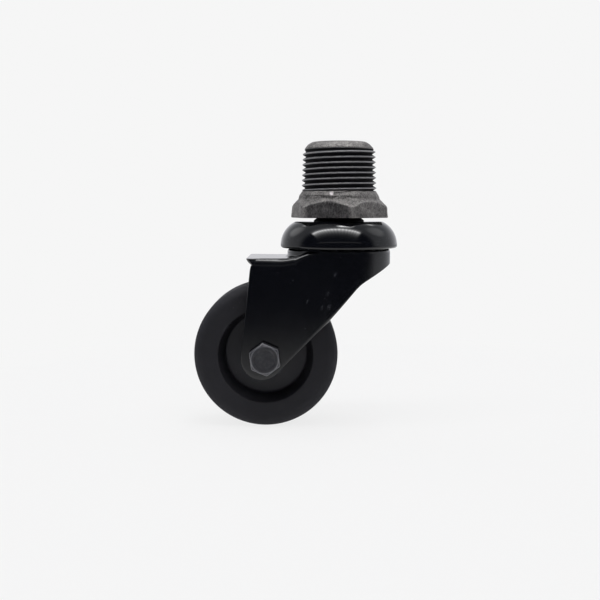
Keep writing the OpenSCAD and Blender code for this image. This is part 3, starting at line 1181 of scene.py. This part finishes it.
@dataclass
class BallRaces:
    """Lower race and the two rings of balls, which show as they were cut."""

    upper_n: int = 18
    lower_n: int = 12

    def dress(self, solids: Mapping[str, bpy.types.Object]) -> None:
        """Gives the race and the balls their steel.

        Args:
            solids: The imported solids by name.
        """
        dress_solid(solids["lower_race"], RACE_STEEL)
        names = [f"upper_ball_{i + 1}" for i in range(self.upper_n)]
        names += [f"lower_ball_{i + 1}" for i in range(self.lower_n)]
        for name in names:
            dress_solid(solids[name], BALL_STEEL)
        LOG.info("lower_race and %d balls", len(names))


@dataclass
class Fork:
    """Fork pressed from one sheet: crown, cup, apron and two legs."""

    sheet: float = 2.0
    hole_r: float = 5.8
    crown_z: float = -15.0
    crown_r: Pair = (12.43, 11.32)
    crown_cut: float = 0.8
    foot_r: Pair = (16.06, 14.95)
    cone_cut: float = 0.5
    cup_r: float = 18.3
    cup_z: float = -20.8
    shoulder_cut: float = 1.3
    shoulder_least: float = 0.2
    side_share: float = 0.48
    apron_z: float = -23.7
    apron_rise: float = 1.6
    rise_rear: Pair = (-23.0, -10.0)
    rise_front: Pair = (-4.0, -8.5)
    ledge_rise: float = 0.7
    ledge_cut: float = 1.4
    ledge_share: float = 0.14
    apron_reach: float = 32.2
    apron_corner_r: float = 1.8
    leg_y: float = 16.7
    leg_rear: float = -30.7
    leg_front: float = -11.5
    bend_cut: float = 4.2
    bend_least: float = 0.06
    bend_share: float = 0.84
    cut_reach: float = 0.97
    crease_cut: float = 3.4
    skirt_h: float = 5.6
    throat_l: float = 11.4
    throat_drop: float = 6.5
    throat_cut: float = 2.6
    leg_bow: float = 0.7
    end_r: float = 7.4
    end_at: Pair = (-27.0, -58.4)
    axle_at: Pair = (-25.9, -58.0)
    hole_fit: float = 3.1
    upper_track: Triple = (16.02, -16.81, 2.43)
    lower_track: Triple = (8.3, -18.685, 2.035)
    edge_r: float = 0.4
    lip_slope: float = 0.7
    lip_round: float = 0.25
    lip_tail: float = 16.8
    rear_lead: int = 2
    specks: tuple[Triple, ...] = (
        (-2.0, -29.1, 0.30),
        (-3.95, -40.1, 0.36),
        (-4.45, -35.6, 0.28),
        (-11.3, -38.6, 0.17),
        (-6.4, -40.5, 0.28),
    )
    speck_share: float = 0.45
    speck_squeeze: float = 0.6
    speck_y: float = -10.0
    drill_spare: float = 4.0
    drill_n: int = 48
    edge_n: int = 9
    throat_n: int = 20
    front_n: int = 60
    end_n: int = 90
    cup_n: int = 56
    crease_n: int = 14
    leg_n: int = 44
    lip_n: int = 26
    bend_n: int = 8
    fill: tuple[int, ...] = (18, 14, 2, 4, 9, 34)

    def plan(self) -> tuple[Array, Array, int]:
        """Outline of the near half seen from above, from the front to the rear.

        It is the cup's circle, a curve over the crease where the circle meets the leg's plane, the leg's
        straight, the apron's corner and its rear edge. The second array is the share of the bend that is
        left at each point: all along the leg, and none on the rear edge.

        Returns:
            The outline's points, the bend's shares, and the number of the leg's last point.
        """
        crease_a = math.pi - math.asin(self.leg_y / self.cup_r)
        end_a = crease_a - self.crease_cut / self.cup_r
        a = np.linspace(0, end_a, self.cup_n)
        cup = self.cup_r * np.stack([np.cos(a), -np.sin(a)], axis=-1)
        crease = np.array([self.cup_r * math.cos(crease_a), -self.leg_y])
        after = crease - np.array([self.crease_cut, 0])
        soft = soft_curve(cup[-1], crease, after, self.crease_n)[1:]
        x = np.linspace(after[0], self.leg_rear + self.edge_r, self.leg_n)[1:]
        leg = np.stack([x, np.full_like(x, -self.leg_y)], axis=-1)
        b = np.linspace(0, math.pi / 2, self.lip_n // 2)
        centre = np.array([self.apron_corner_r - self.apron_reach, self.apron_corner_r - self.leg_y])
        corner = centre - self.apron_corner_r * np.stack([np.sin(b), np.cos(b)], axis=-1)
        y = np.linspace(corner[-1, 1], 0, self.lip_n // 2)[1:]
        rear = np.stack([np.full_like(y, -self.apron_reach), y], axis=-1)
        points = np.concatenate([cup, soft, leg, corner, rear])
        last = len(cup) + len(soft) + len(leg) - 1
        share = np.ones(len(points))
        share[last + 1 :] = np.concatenate([(1 - np.sin(b)) ** 2, np.zeros(len(rear))])
        return points, share, last

    def lower_edge(self) -> Array:
        """Lower edge seen from the side: the cup's front, the throat's corner, the leg's front and its end.

        The leg's front is a curve by an elbow that stands the bow outside the middle of the straight from
        the corner that touches the end's circle. The end is that circle's arc, up to where the rear edge
        leaves it.

        Returns:
            Points (x, z), close together.
        """
        centre = np.array(self.end_at)
        front = np.array([self.cup_r, self.cup_z - self.skirt_h])
        corner = front - np.array([self.throat_l, self.throat_drop])
        straight = touch_angle(corner, centre, self.end_r, -1)
        outward = np.array([math.cos(straight), math.sin(straight)])
        elbow = (corner + centre + self.end_r * outward) / 2 + self.leg_bow * outward
        start = touch_angle(elbow, centre, self.end_r, -1)
        rear = touch_angle(np.array([self.leg_rear, self.apron_z - self.sheet]), centre, self.end_r, 1)
        a = np.linspace(start, rear - FULL_TURN, self.end_n)
        end = centre + self.end_r * np.stack([np.cos(a), np.sin(a)], axis=-1)
        cut = np.array([self.throat_cut])
        throat = eased_path(np.stack([front, corner, elbow]), cut, self.throat_n, [12, 0])[:-1]
        return np.concatenate([throat, soft_curve(throat[-1], elbow, end[0], self.front_n)[1:-1], end])

    def low_points(self, line: Array, x: Array, on_leg: Array) -> Array:
        """Point of a lower edge that each point of the outline belongs to.

        In front of the leg it lies straight below. On the leg the outline's share of the leg's width is the
        share of the edge's length from the leg's front to its end.

        Args:
            line: The edge's points (x, z).
            x: Places of the outline's points along the fork.
            on_leg: Which of them are on the leg.

        Returns:
            Points (x, z).
        """
        run = np.concatenate([[0.0], np.cumsum(np.linalg.norm(np.diff(line, axis=0), axis=1))])
        fore = line[: -self.end_n][::-1]
        low = np.stack([x, np.interp(x, fore[:, 0], fore[:, 1])], axis=-1)
        first = np.interp(self.leg_front, fore[:, 0], run[: -self.end_n][::-1])
        share = (x[on_leg] - self.leg_front) / (x[on_leg].min() - self.leg_front)
        s = first + share * (run[-1] - first)
        low[on_leg] = np.stack([np.interp(s, run, line[:, 0]), np.interp(s, run, line[:, 1])], axis=-1)
        return low

    def face(self, depth: float) -> tuple[Array, Array, int, int]:
        """One face of the near half of the sheet, at a depth below the outer face.

        Each point of the outline carries a path from the shank's hole over the crown, the cone, the cup's
        shoulder, the apron and the bend down to the lower edge, with every corner rounded.

        Args:
            depth: 0 for the outer face, and the sheet's thickness for the inner one.

        Returns:
            Points by outline point and path point, the way from each path's end to the edge's tip, the leg's
            last outline point, and the path point near the bend's end at which the leg's rear edge starts.
        """
        outer, share, last = self.plan()
        run = np.gradient(outer, axis=0)
        run /= np.linalg.norm(run, axis=1, keepdims=True)
        outward = np.stack([run[:, 1], -run[:, 0]], axis=-1)
        outward *= np.sign((outward * outer).sum(axis=1, keepdims=True))
        outward[0] = (1, 0)
        outward[-1] = (-1, 0)
        edge = outer - outward * (depth * np.maximum(share, self.lip_slope))[:, None]
        edge[[0, -1], 1] = 0
        ray = edge / np.linalg.norm(edge, axis=1, keepdims=True)
        x = outer[:, 0]
        rise = smooth_step(x, *self.rise_rear) * smooth_step(x, *self.rise_front)
        level = self.apron_z + self.apron_rise * rise - depth
        inner = depth > 0
        cup_r = self.cup_r - depth

        def ring(radius: float, z: float | Array) -> Array:
            """Points of every path on one circle about the swivel axis."""
            return np.column_stack([ray * radius, np.broadcast_to(z, x.shape)])

        line = self.lower_edge()
        along = np.gradient(line, axis=0)
        along /= np.linalg.norm(along, axis=1, keepdims=True)
        inside = line + self.edge_r * np.stack([along[:, 1], -along[:, 0]], axis=-1)
        on_leg = (x <= self.leg_front) & (np.arange(len(x)) <= last)
        tips, ends = (self.low_points(p, x, on_leg) for p in (line, inside))
        low = np.column_stack([ends[:, 0], edge[:, 1], ends[:, 1]])
        low[~on_leg, 0] = edge[~on_leg, 0]
        tip = np.column_stack([tips[:, 0] - ends[:, 0], 0 * x, tips[:, 1] - ends[:, 1]])
        low[last + 1 :] = np.column_stack([edge[last + 1 :], level[last + 1 :] - self.lip_tail])
        wall = np.maximum(np.linalg.norm(edge, axis=1), cup_r)
        corner = np.where((wall > cup_r + TINY)[:, None], edge, ray * cup_r)
        corners = np.stack(
            [
                ring(self.hole_r, self.crown_z - depth),
                ring(self.crown_r[inner], self.crown_z - depth),
                ring(self.foot_r[inner], self.cup_z - depth),
                ring(cup_r, self.cup_z - depth),
                ring(cup_r, level + self.ledge_rise * rise),
                np.column_stack([corner, level]),
                low,
            ],
            axis=1,
        )
        ledge = wall - cup_r
        side = self.side_share * (self.cup_z - depth - level - self.ledge_rise * rise)
        shoulder = np.minimum(max(self.shoulder_cut - depth, self.shoulder_least), side)
        foot = np.minimum(np.minimum(self.ledge_cut, side), self.ledge_share * ledge)
        bend = np.maximum((self.bend_cut - depth) * share, self.bend_least)
        bend = np.minimum(bend, self.bend_share * ledge)
        cuts = np.broadcast_arrays(self.crown_cut, self.cone_cut, shoulder, foot, bend)
        grid = eased_path(corners, np.stack(cuts, axis=-1), self.bend_n, self.fill, self.cut_reach)
        return grid, tip, last, row_after(len(self.fill) - 2, self.bend_n, self.fill) - self.rear_lead

    def build(self) -> None:
        """Presses the balls' grooves, joins the faces at their edges, mirrors the half and drills it."""
        outer, tip, last, bend_end = self.face(0.0)
        inner, _, _, _ = self.face(self.sheet)
        outer, inner = grooved(outer, self.upper_track), grooved(inner, self.lower_track)
        sheets: list[Array] = []
        for grid in (outer, inner):
            sheets.append(grid[: last + 1])
            sheets.append(grid[last:, : bend_end + 1])
        foot, rear = slice(None, last + 1), slice(bend_end, None)
        sheets.append(self.rounded(outer[foot, -1], inner[foot, -1], tip[foot]))
        rim = self.rounded(outer[last, rear], inner[last, rear], tip[last])
        sheets.append(rim)
        top, under = outer[last:, bend_end], inner[last:, bend_end]
        _, share, _ = self.plan()
        lip_tip = (top - under) * DROP_Z * self.lip_round
        lip = self.rounded(top, under, lip_tip * (1 - share[last:, None]))
        sheets.append(lip)
        sheets.append(np.stack([lip[:, 0], rim[:, 0]]))
        sheets.append(np.stack([outer[:, 0], inner[:, 0]]))
        half = [Patch(points, marks={"scuff": self.scuffs(points)}) for points in sheets]
        patches = half + [p.mirrored() for p in half]
        piece = add_piece("fork", patches, FORK_PAINT, Body.FORK, sharp=50)
        self.drill(piece)

    def rounded(self, outer: Array, inner: Array, tip: Array) -> Array:
        """Half-round edge of the sheet: middle + half thickness cos(t) + tip sin(t), with t from 0 to pi.

        Args:
            outer: Ends of the outer face.
            inner: Ends of the inner face.
            tip: Way from there to the edge's tip, for each end or for all.

        Returns:
            Points by turn of t and end.
        """
        t = np.linspace(0, math.pi, self.edge_n)[:, None, None]
        return (outer + inner) / 2 + (outer - inner) / 2 * np.cos(t) + tip * np.sin(t)

    def scuffs(self, points: Array) -> Array:
        """Share of bare or dusty paint at each point: a few specks on the near cup and leg.

        Each speck is a hump of width r about its middle (x, z) on the near side, with heights squeezed.

        Args:
            points: Points of the fork.

        Returns:
            The shares.
        """
        found = np.zeros(points.shape[:2])
        for x, z, r in self.specks:
            away = np.hypot(points[..., 0] - x, (points[..., 2] - z) * self.speck_squeeze)
            found = np.maximum(found, hump(away, r) * (points[..., 1] < self.speck_y))
        return found * self.speck_share

    def drill(self, piece: bpy.types.Object) -> None:
        """Cuts the axle's two holes with a round bar and removes the bar.

        Args:
            piece: The fork.
        """
        r = np.array([0.0, self.hole_fit, self.hole_fit, 0.0])
        z = np.array([-1.0, -1.0, 1.0, 1.0]) * (self.leg_y + self.drill_spare)
        bar = lathe(np.stack([r, z], axis=-1), self.drill_n)
        patch = Patch(on_axle(bar), closed_rows=True, marks={"scuff": np.zeros(bar.shape[:2])})
        cutter = link_object("axle_drill", fill_mesh("axle_drill", [patch], 40))
        cut = piece.modifiers.new("axle_holes", "BOOLEAN")
        cut.object = cutter
        cut.operation = "DIFFERENCE"
        cut.solver = "EXACT"
        with bpy.context.temp_override(object=piece, active_object=piece):
            bpy.ops.object.modifier_apply(modifier=cut.name)
        bpy.data.objects.remove(cutter)


def on_axle(points: Array, axle: Pair = Fork.axle_at) -> Array:
    """Turns points so that their Z axis lies on the axle, pointing to the bolt's head.

    Args:
        points: Points about Z.
        axle: Place (x, z) of the axle.

    Returns:
        The points (x + axle x, -z, y + axle z).
    """
    return np.stack([points[..., 0] + axle[0], -points[..., 2], points[..., 1] + axle[1]], axis=-1)


@dataclass
class RoadWheel:
    """Moulded wheel with deep side recesses."""

    radius: float = 25.4
    half_w: float = 11.0
    edge_r: float = 4.0
    bore_r: float = 4.58
    hub_r: float = 7.3
    hub_half: float = 14.4
    floor_z: float = 2.5
    foot_r: float = 14.59
    mouth_r: float = 16.6
    seam_h: float = 0.06
    seam_w: float = 0.35
    rolled_fade: Pair = (-2.5, -0.2)
    inside_fade: Pair = (0.3, -0.5)
    columns: int = 224

    def build(self) -> None:
        """Turns the half section and its mirror image, with a moulding seam round the tread.

        The seam adds h exp(-(z / w)^2) to the tread's radius.
        """
        corners = np.array(
            [
                (self.bore_r, 0.0),
                (self.bore_r, self.hub_half),
                (self.hub_r, self.hub_half),
                (self.hub_r, self.floor_z),
                (self.foot_r, self.floor_z),
                (self.mouth_r, self.half_w),
                (self.radius, self.half_w),
                (self.radius, 0.0),
            ]
        )
        cuts = np.array([0.3, 0.5, 1.0, 0.8, 0.4, self.edge_r * 1.15])
        half = eased_path(corners, cuts, 9, [5, 2, 9, 6, 7, 7, 14])
        other = half[::-1] * np.array([1.0, -1.0])
        profile = np.concatenate([half[:-1], other[:-1]])
        seam = self.seam_h * hump(profile[:, 1], self.seam_w)
        profile[:, 0] += np.where(profile[:, 0] > self.radius - 0.5, seam, 0)
        rolled = smooth_step(profile[:, 0] - self.radius, *self.rolled_fade)
        points = on_axle(lathe(profile, self.columns))
        # Marks the recesses, which are smoother and painted paler as painted light.
        inside = smooth_step(profile[:, 0] - self.foot_r, *self.inside_fade)
        rows = {"rolled": rolled, "inside": inside}
        marks = {name: np.broadcast_to(row, points.shape[:2]) for name, row in rows.items()}
        patch = Patch(points, True, True, marks)
        add_piece("wheel", [patch], WHEEL_PLASTIC, Body.WHEEL, sharp=60)


@dataclass
class Axle:
    """Bolt, lock nut, nylon ring and sleeve."""

    seat: float = 16.7
    bolt_r: float = 3.0
    flat: float = 5.0
    corner_r: float = 0.3
    head_h: float = 4.0
    face_r: float = 4.7
    dish_r: float = 3.7
    dish: float = 0.18
    dish_wall: float = 0.35
    bolt_turn: float = 37.0
    grip: float = 41.0
    pitch: float = 1.0
    ridge: float = 0.36
    thread_l: float = 16.0
    nut_hex_h: float = 4.4
    nut_h: float = 6.0
    nut_turn: float = 12.0
    ring_r: float = 4.1
    nut_bore: float = 3.05
    nut_seam: float = 2.0
    chamfer: float = 30.0
    columns: int = 168

    def wrench_rows(self, angle: Array, turn: float, height: float) -> list[Corner]:
        """Corners of a hexagon's section at each angle: its foot, its side and its sloped chamfer.

        The side ends (r - face) tan(chamfer) below the top, with r the hexagon's radius there.

        Args:
            angle: Angles about the axis.
            turn: Angle of a corner in degrees.
            height: Height of the hexagon.

        Returns:
            Three corners (r, z).
        """
        r = hexagon_radius(angle - math.radians(turn) - SIXTH_TURN / 2, self.flat, self.corner_r)
        side = height - (r - self.face_r) * math.tan(math.radians(self.chamfer))
        return [(r, 0.0), (r, side), (self.face_r, height)]

    def bolt(self) -> None:
        """Makes the bolt: a threaded shank, and a hexagon head with a shallow dish."""
        angle = turn_angles(self.columns)
        root = self.bolt_r - self.ridge
        shank = [
            (0.0, -self.grip),
            (root - 0.4, -self.grip),
            (root, 0.4 - self.grip),
            (root, self.thread_l - self.grip),
            (self.bolt_r, self.thread_l + 0.6 - self.grip),
            (self.bolt_r, 0.0),
        ]
        head = self.wrench_rows(angle, self.bolt_turn, self.head_h)
        dish_z = self.head_h - self.dish
        dish = [(self.dish_r, self.head_h), (self.dish_r - self.dish_wall, dish_z), (0.0, dish_z)]
        path = corner_rows([*shank, *head, *dish], angle)
        cuts = np.array([0.1, 0.1, 0.1, 0.1, 0.1, 0.2, 0.22, 0.25, 0.2, 0.2])
        fill = [2, 1, 150, 2, 8, 3, 8, 3, 3, 2, 5]
        section = eased_path(path, cuts, EASE_N, fill)
        radius, height = section[..., 0], section[..., 1]
        low, high = 0.3 - self.grip, self.thread_l - self.grip
        lift = screw_ridge(angle[:, None], height, self.pitch, 0.12) * self.ridge
        lift = lift * smooth_step(height, low, low + 0.5) * smooth_step(height, high, high - 1)
        on_thread = (height > low) & (height < high) & (radius > root - 0.1)
        section = np.stack([radius + lift * on_thread, height], axis=-1)
        side = head[1][1][:, None]
        # Worn marks on the head's rim and corners, which also serve as painted highlights.
        rim = hump(radius - self.face_r, 0.2) * smooth_step(height, self.head_h - 0.4, self.head_h - 0.1)
        corner = hump(height - side, 0.16) * (radius > self.face_r)
        chamfer = smooth_step(radius, self.face_r - 0.1, self.face_r) * (height > self.head_h - 1)
        worn = np.maximum(rim, corner) * 0.9 + chamfer * 0.06
        worn = worn + smooth_step(lift, 0.5 * self.ridge, self.ridge)
        points = lathe(section, self.columns) + np.array([0, 0, self.seat])
        patch = Patch(on_axle(points), closed_rows=True, marks={"worn": np.clip(worn, 0, 1)})
        add_piece("axle_bolt", [patch], BOLT_STEEL, Body.FORK, sharp=35)

    def nut(self) -> None:
        """Makes the lock nut: a hexagon with a round collar that holds the nylon ring."""
        angle = turn_angles(self.columns)
        rows = [(self.nut_bore, self.nut_seam), (self.nut_bore, 0.0)]
        rows += self.wrench_rows(angle, self.nut_turn, self.nut_hex_h)
        rows += [
            (self.face_r, self.nut_h - 0.5),
            (self.ring_r + 0.35, self.nut_h),
            (self.ring_r, self.nut_h - 0.15),
            (self.ring_r, self.nut_hex_h),
            (self.nut_bore, self.nut_hex_h),
            (self.nut_bore, self.nut_seam),
        ]
        cuts = np.array([0.2, 0.2, 0.2, 0.3, 0.3, 0.15, 0.1, 0.1, 0.1])
        section = eased_path(corner_rows(rows, angle), cuts, EASE_N, [2, 3, 7, 3, 4, 2, 1, 3, 3, 3])[:, :-1]
        points = lathe(section, self.columns) + np.array([0, 0, self.seat])
        worn = hump(section[..., 0] - self.face_r - 0.1, 0.3) * 0.7
        patch = Patch(on_axle(points) * FLIP_Y, True, True, {"worn": worn})
        add_piece("axle_nut", [patch], BOLT_STEEL, Body.FORK, sharp=35)

    def dress(self, solids: Mapping[str, bpy.types.Object]) -> None:
        """Gives the sleeve and the nylon ring, which show as they were cut, their finishes.

        Args:
            solids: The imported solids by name.
        """
        dress_solid(solids["axle_sleeve"], RACE_STEEL)
        dress_solid(solids["nut_ring"], NYLON)
        LOG.info("axle_sleeve and nut_ring")


# Studio


@dataclass(frozen=True)
class Lamp:
    """Long lamp across the tent, as the part sees it: angles in degrees, and its ends as shares along it."""

    rise: float
    start: float
    end: float
    glow: float
    fall: float
    edge: float
    slope: float = 0.0
    curve: float = 0.0
    dots: float = 0.0
    pitch: float = 0.085


@dataclass
class Studio:
    """Pale floor, light tent and camera."""

    pale: Colour = (0.921, 0.921, 0.921)
    ground: Colour = (0.60, 0.60, 0.60)
    side: Colour = (0.56, 0.57, 0.60)
    top: Colour = (0.42, 0.43, 0.46)
    back: Colour = (0.92, 0.92, 0.96)
    dim: Colour = (0.032, 0.036, 0.053)
    mouth_turn: float = 6.0
    mouth_rim: Pair = (0.10, 0.38)
    top_fade: Pair = (0.2, 0.75)
    back_fade: Pair = (-0.45, -1.0)
    back_rise: Pair = (0.5, 0.15)
    lamps: tuple[Lamp, ...] = (
        Lamp(78.8, -0.90, 0.60, 12.5, 7.5, 3.0, slope=-7.7, curve=17.0, dots=0.25),
        Lamp(98.0, 0.02, 0.22, 28.0, 3.5, 3.5),
        Lamp(126.0, -0.50, 0.50, 4.5, 3.0, 3.0),
        Lamp(18.0, -0.85, 0.85, 0.80, 1.0, 1.0),
    )
    spots: tuple[tuple[Triple, float, float], ...] = (
        ((-0.701, 0.457, 0.547), 18.0, 0.95),
        ((0.736, 0.189, 0.650), 20.0, 0.7),
    )
    floor_front: Pair = (0.05, 0.33)
    floor_far: Pair = (0.25, 1.0)
    shadow_far: Pair = (0.06, 0.24)
    shadow_loss: float = 0.88
    floor_x: float = -14.0
    floor_z: float = -83.4
    floor_rings: tuple[float, ...] = (0.0, 60.0, 200.0, 700.0, 2500.0)
    camera_at: Triple = (-13.85, -340.0, -5.8)
    camera_to: Triple = (-13.85, 0.0, -39.5)
    lens: float = 57.0
    sensor: float = 36.0

    def rays(self, graph: Graph) -> tuple[Value, Value]:
        """Tells the kinds of rays apart.

        Args:
            graph: Nodes of the floor or the tent.

        Returns:
            Camera rays, and glossy or transmitted rays, as shares from 0 to 1.
        """
        path = graph.node("ShaderNodeLightPath")
        kinds = ("Camera", "Glossy", "Transmission")
        seen, glossy, passed = (Value(graph, path.outputs[f"Is {kind} Ray"]) for kind in kinds)
        return seen, glossy.most(passed)

    def strip(self, ways: tuple[Value, Value, Value], lamp: Lamp) -> Value:
        """Brightness of a long lamp, which may be a row of small lights.

        With the direction (x, y, z), its rise is atan2(z, -y) and its place along the lamp is
        u = x / sqrt(y^2 + z^2). The lamp's own rise is a + b u - c u^2. Below it the light falls as
        exp(-d / fall), and above it as exp(-d / edge), with d the difference in degrees.

        Args:
            ways: The direction's three coordinates.
            lamp: The lamp.

        Returns:
            The brightness.
        """
        x, y, z = ways
        rise = z.math("ARCTAN2", 0 - y) * math.degrees(1)
        u = x / (y * y + z * z).most(TINY).math("SQRT")
        below = u * lamp.slope - u * u * lamp.curve + lamp.rise - rise
        above = (0 - below).most(0)
        soft = (below.most(0) * (-1 / lamp.fall) + above * (-1 / lamp.edge)).math("EXPONENT")
        length = u.grade(lamp.start - 0.08, lamp.start + 0.06) * u.grade(lamp.end + 0.1, lamp.end - 0.06)
        dots = (u * (FULL_TURN / lamp.pitch)).math("COSINE") * lamp.dots + 1
        return soft * length * dots * lamp.glow

    def spot(self, ways: tuple[Value, Value, Value], at: Triple, wide: float, glow: float) -> Value:
        """Brightness of a soft round light, which fades to nothing at an angle from its middle.

        Args:
            ways: The direction's three coordinates.
            at: Direction of its middle.
            wide: The angle in degrees.
            glow: Brightness of its middle.

        Returns:
            The brightness.
        """
        size = math.hypot(*at)
        near = sum((w * (a / size) for w, a in zip(ways, at)), start=0)
        return near.grade(math.cos(math.radians(wide)), 1.0) * glow

    def world(self) -> None:
        """Makes a white tent that is open towards the camera, with its lamps.

        The mouth is where the direction's share along the mouth's axis is large. It is dim. The sides are
        grey, and the back is pale near the floor.
        """
        world = bpy.data.worlds.new("light_tent")
        world.use_nodes = True
        bpy.context.scene.world = world
        graph = Graph(world.node_tree)
        way = graph.add("ShaderNodeTexCoord", output="Generated")
        x, y, z = ways = tuple(graph.axis(way, name) for name in "XYZ")
        turn = math.radians(self.mouth_turn)
        forward = x * -math.sin(turn) - y * math.cos(turn)
        across = x * math.cos(turn) - y * math.sin(turn)
        heading = forward / (forward * forward + across * across).most(TINY).math("SQRT")
        mouth = forward.grade(*self.mouth_rim)
        shine = [self.strip(ways, lamp) for lamp in self.lamps]
        shine += [self.spot(ways, at, wide, glow) for at, wide, glow in self.spots]
        lamps = sum(shine[1:], start=shine[0])
        tent = graph.blend(z.grade(*self.top_fade), self.side, self.top)
        tent = graph.blend(heading.grade(*self.back_fade) * z.grade(*self.back_rise), tent, self.back)
        tent = graph.blend(mouth, tent, self.dim)
        lamp = graph.add("ShaderNodeCombineColor", None, {0: lamps, 1: lamps, 2: lamps})
        adding = {"data_type": "RGBA", "blend_type": "ADD"}
        lit = graph.add("ShaderNodeMix", adding, {0: 1.0, 6: tent, 7: lamp}, output=2)
        seen, _ = self.rays(graph)
        colour = graph.blend(seen, lit, self.pale)
        shader = graph.add("ShaderNodeBackground", None, {"Color": colour, "Strength": 1.0})
        graph.end(shader, "ShaderNodeOutputWorld")

    def floor(self) -> None:
        """Makes a round pale floor that keeps a faint shadow and darkens towards the tent's mouth."""
        a = turn_angles(64)[:, None]
        r = np.array([self.floor_rings])
        flat = np.broadcast_arrays(r * np.cos(a) + self.floor_x, r * np.sin(a), self.floor_z)
        mesh = fill_mesh("floor", [Patch(np.stack(flat, axis=-1), closed_rows=True)], 40)
        made = bpy.data.materials.new("floor_paper")
        made.use_nodes = True
        graph = Graph(made.node_tree)
        place = graph.place()
        seen, mirrored = self.rays(graph)
        length = graph.add("ShaderNodeVectorMath", {"operation": "LENGTH"}, {0: place}, output="Value")
        front = (0 - graph.axis(place, "Y")).grade(*self.floor_front)
        paper = graph.blend(mirrored * length.grade(*self.floor_far), self.pale, self.side)
        glow = graph.light(graph.blend(mirrored * front, paper, self.dim))
        lit = graph.add("ShaderNodeBsdfDiffuse", None, {"Color": graph.blend(seen, self.pale, self.ground)})
        share = (seen * length.grade(*self.shadow_far).most(self.shadow_loss)).most(mirrored)
        graph.end(graph.mix(share, lit, glow))
        mesh.materials.append(made)
        link_object("floor", mesh)

    def camera(self) -> None:
        """Adds the camera at the photograph's place."""
        data = bpy.data.cameras.new("camera")
        data.lens = self.lens
        data.sensor_width = self.sensor
        data.clip_start = 0.01
        eye = link_object("camera", data)
        eye.location = Vector(self.camera_at) * MM
        aim = Vector(self.camera_to) - Vector(self.camera_at)
        eye.rotation_euler = aim.to_track_quat("-Z", "Y").to_euler()
        bpy.context.scene.camera = eye

    def build(self) -> None:
        """Makes the tent, the floor and the camera."""
        bpy.context.scene.view_settings.view_transform = "Standard"
        self.world()
        self.floor()
        self.camera()


def main() -> None:
    """Loads the frame, builds and dresses every sub-assembly, and sets up the studio."""
    logging.basicConfig(level=logging.INFO, format="%(message)s")
    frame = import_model()
    solids = frame["nodes"]
    ReducingBush().build()
    KingStem().build()
    RacewayCap().build()
    BallRaces().dress(solids)
    Fork().build()
    RoadWheel().build()
    axle = Axle()
    axle.bolt()
    axle.nut()
    axle.dress(solids)
    Studio().build()


if __name__ == "__main__":
    main()
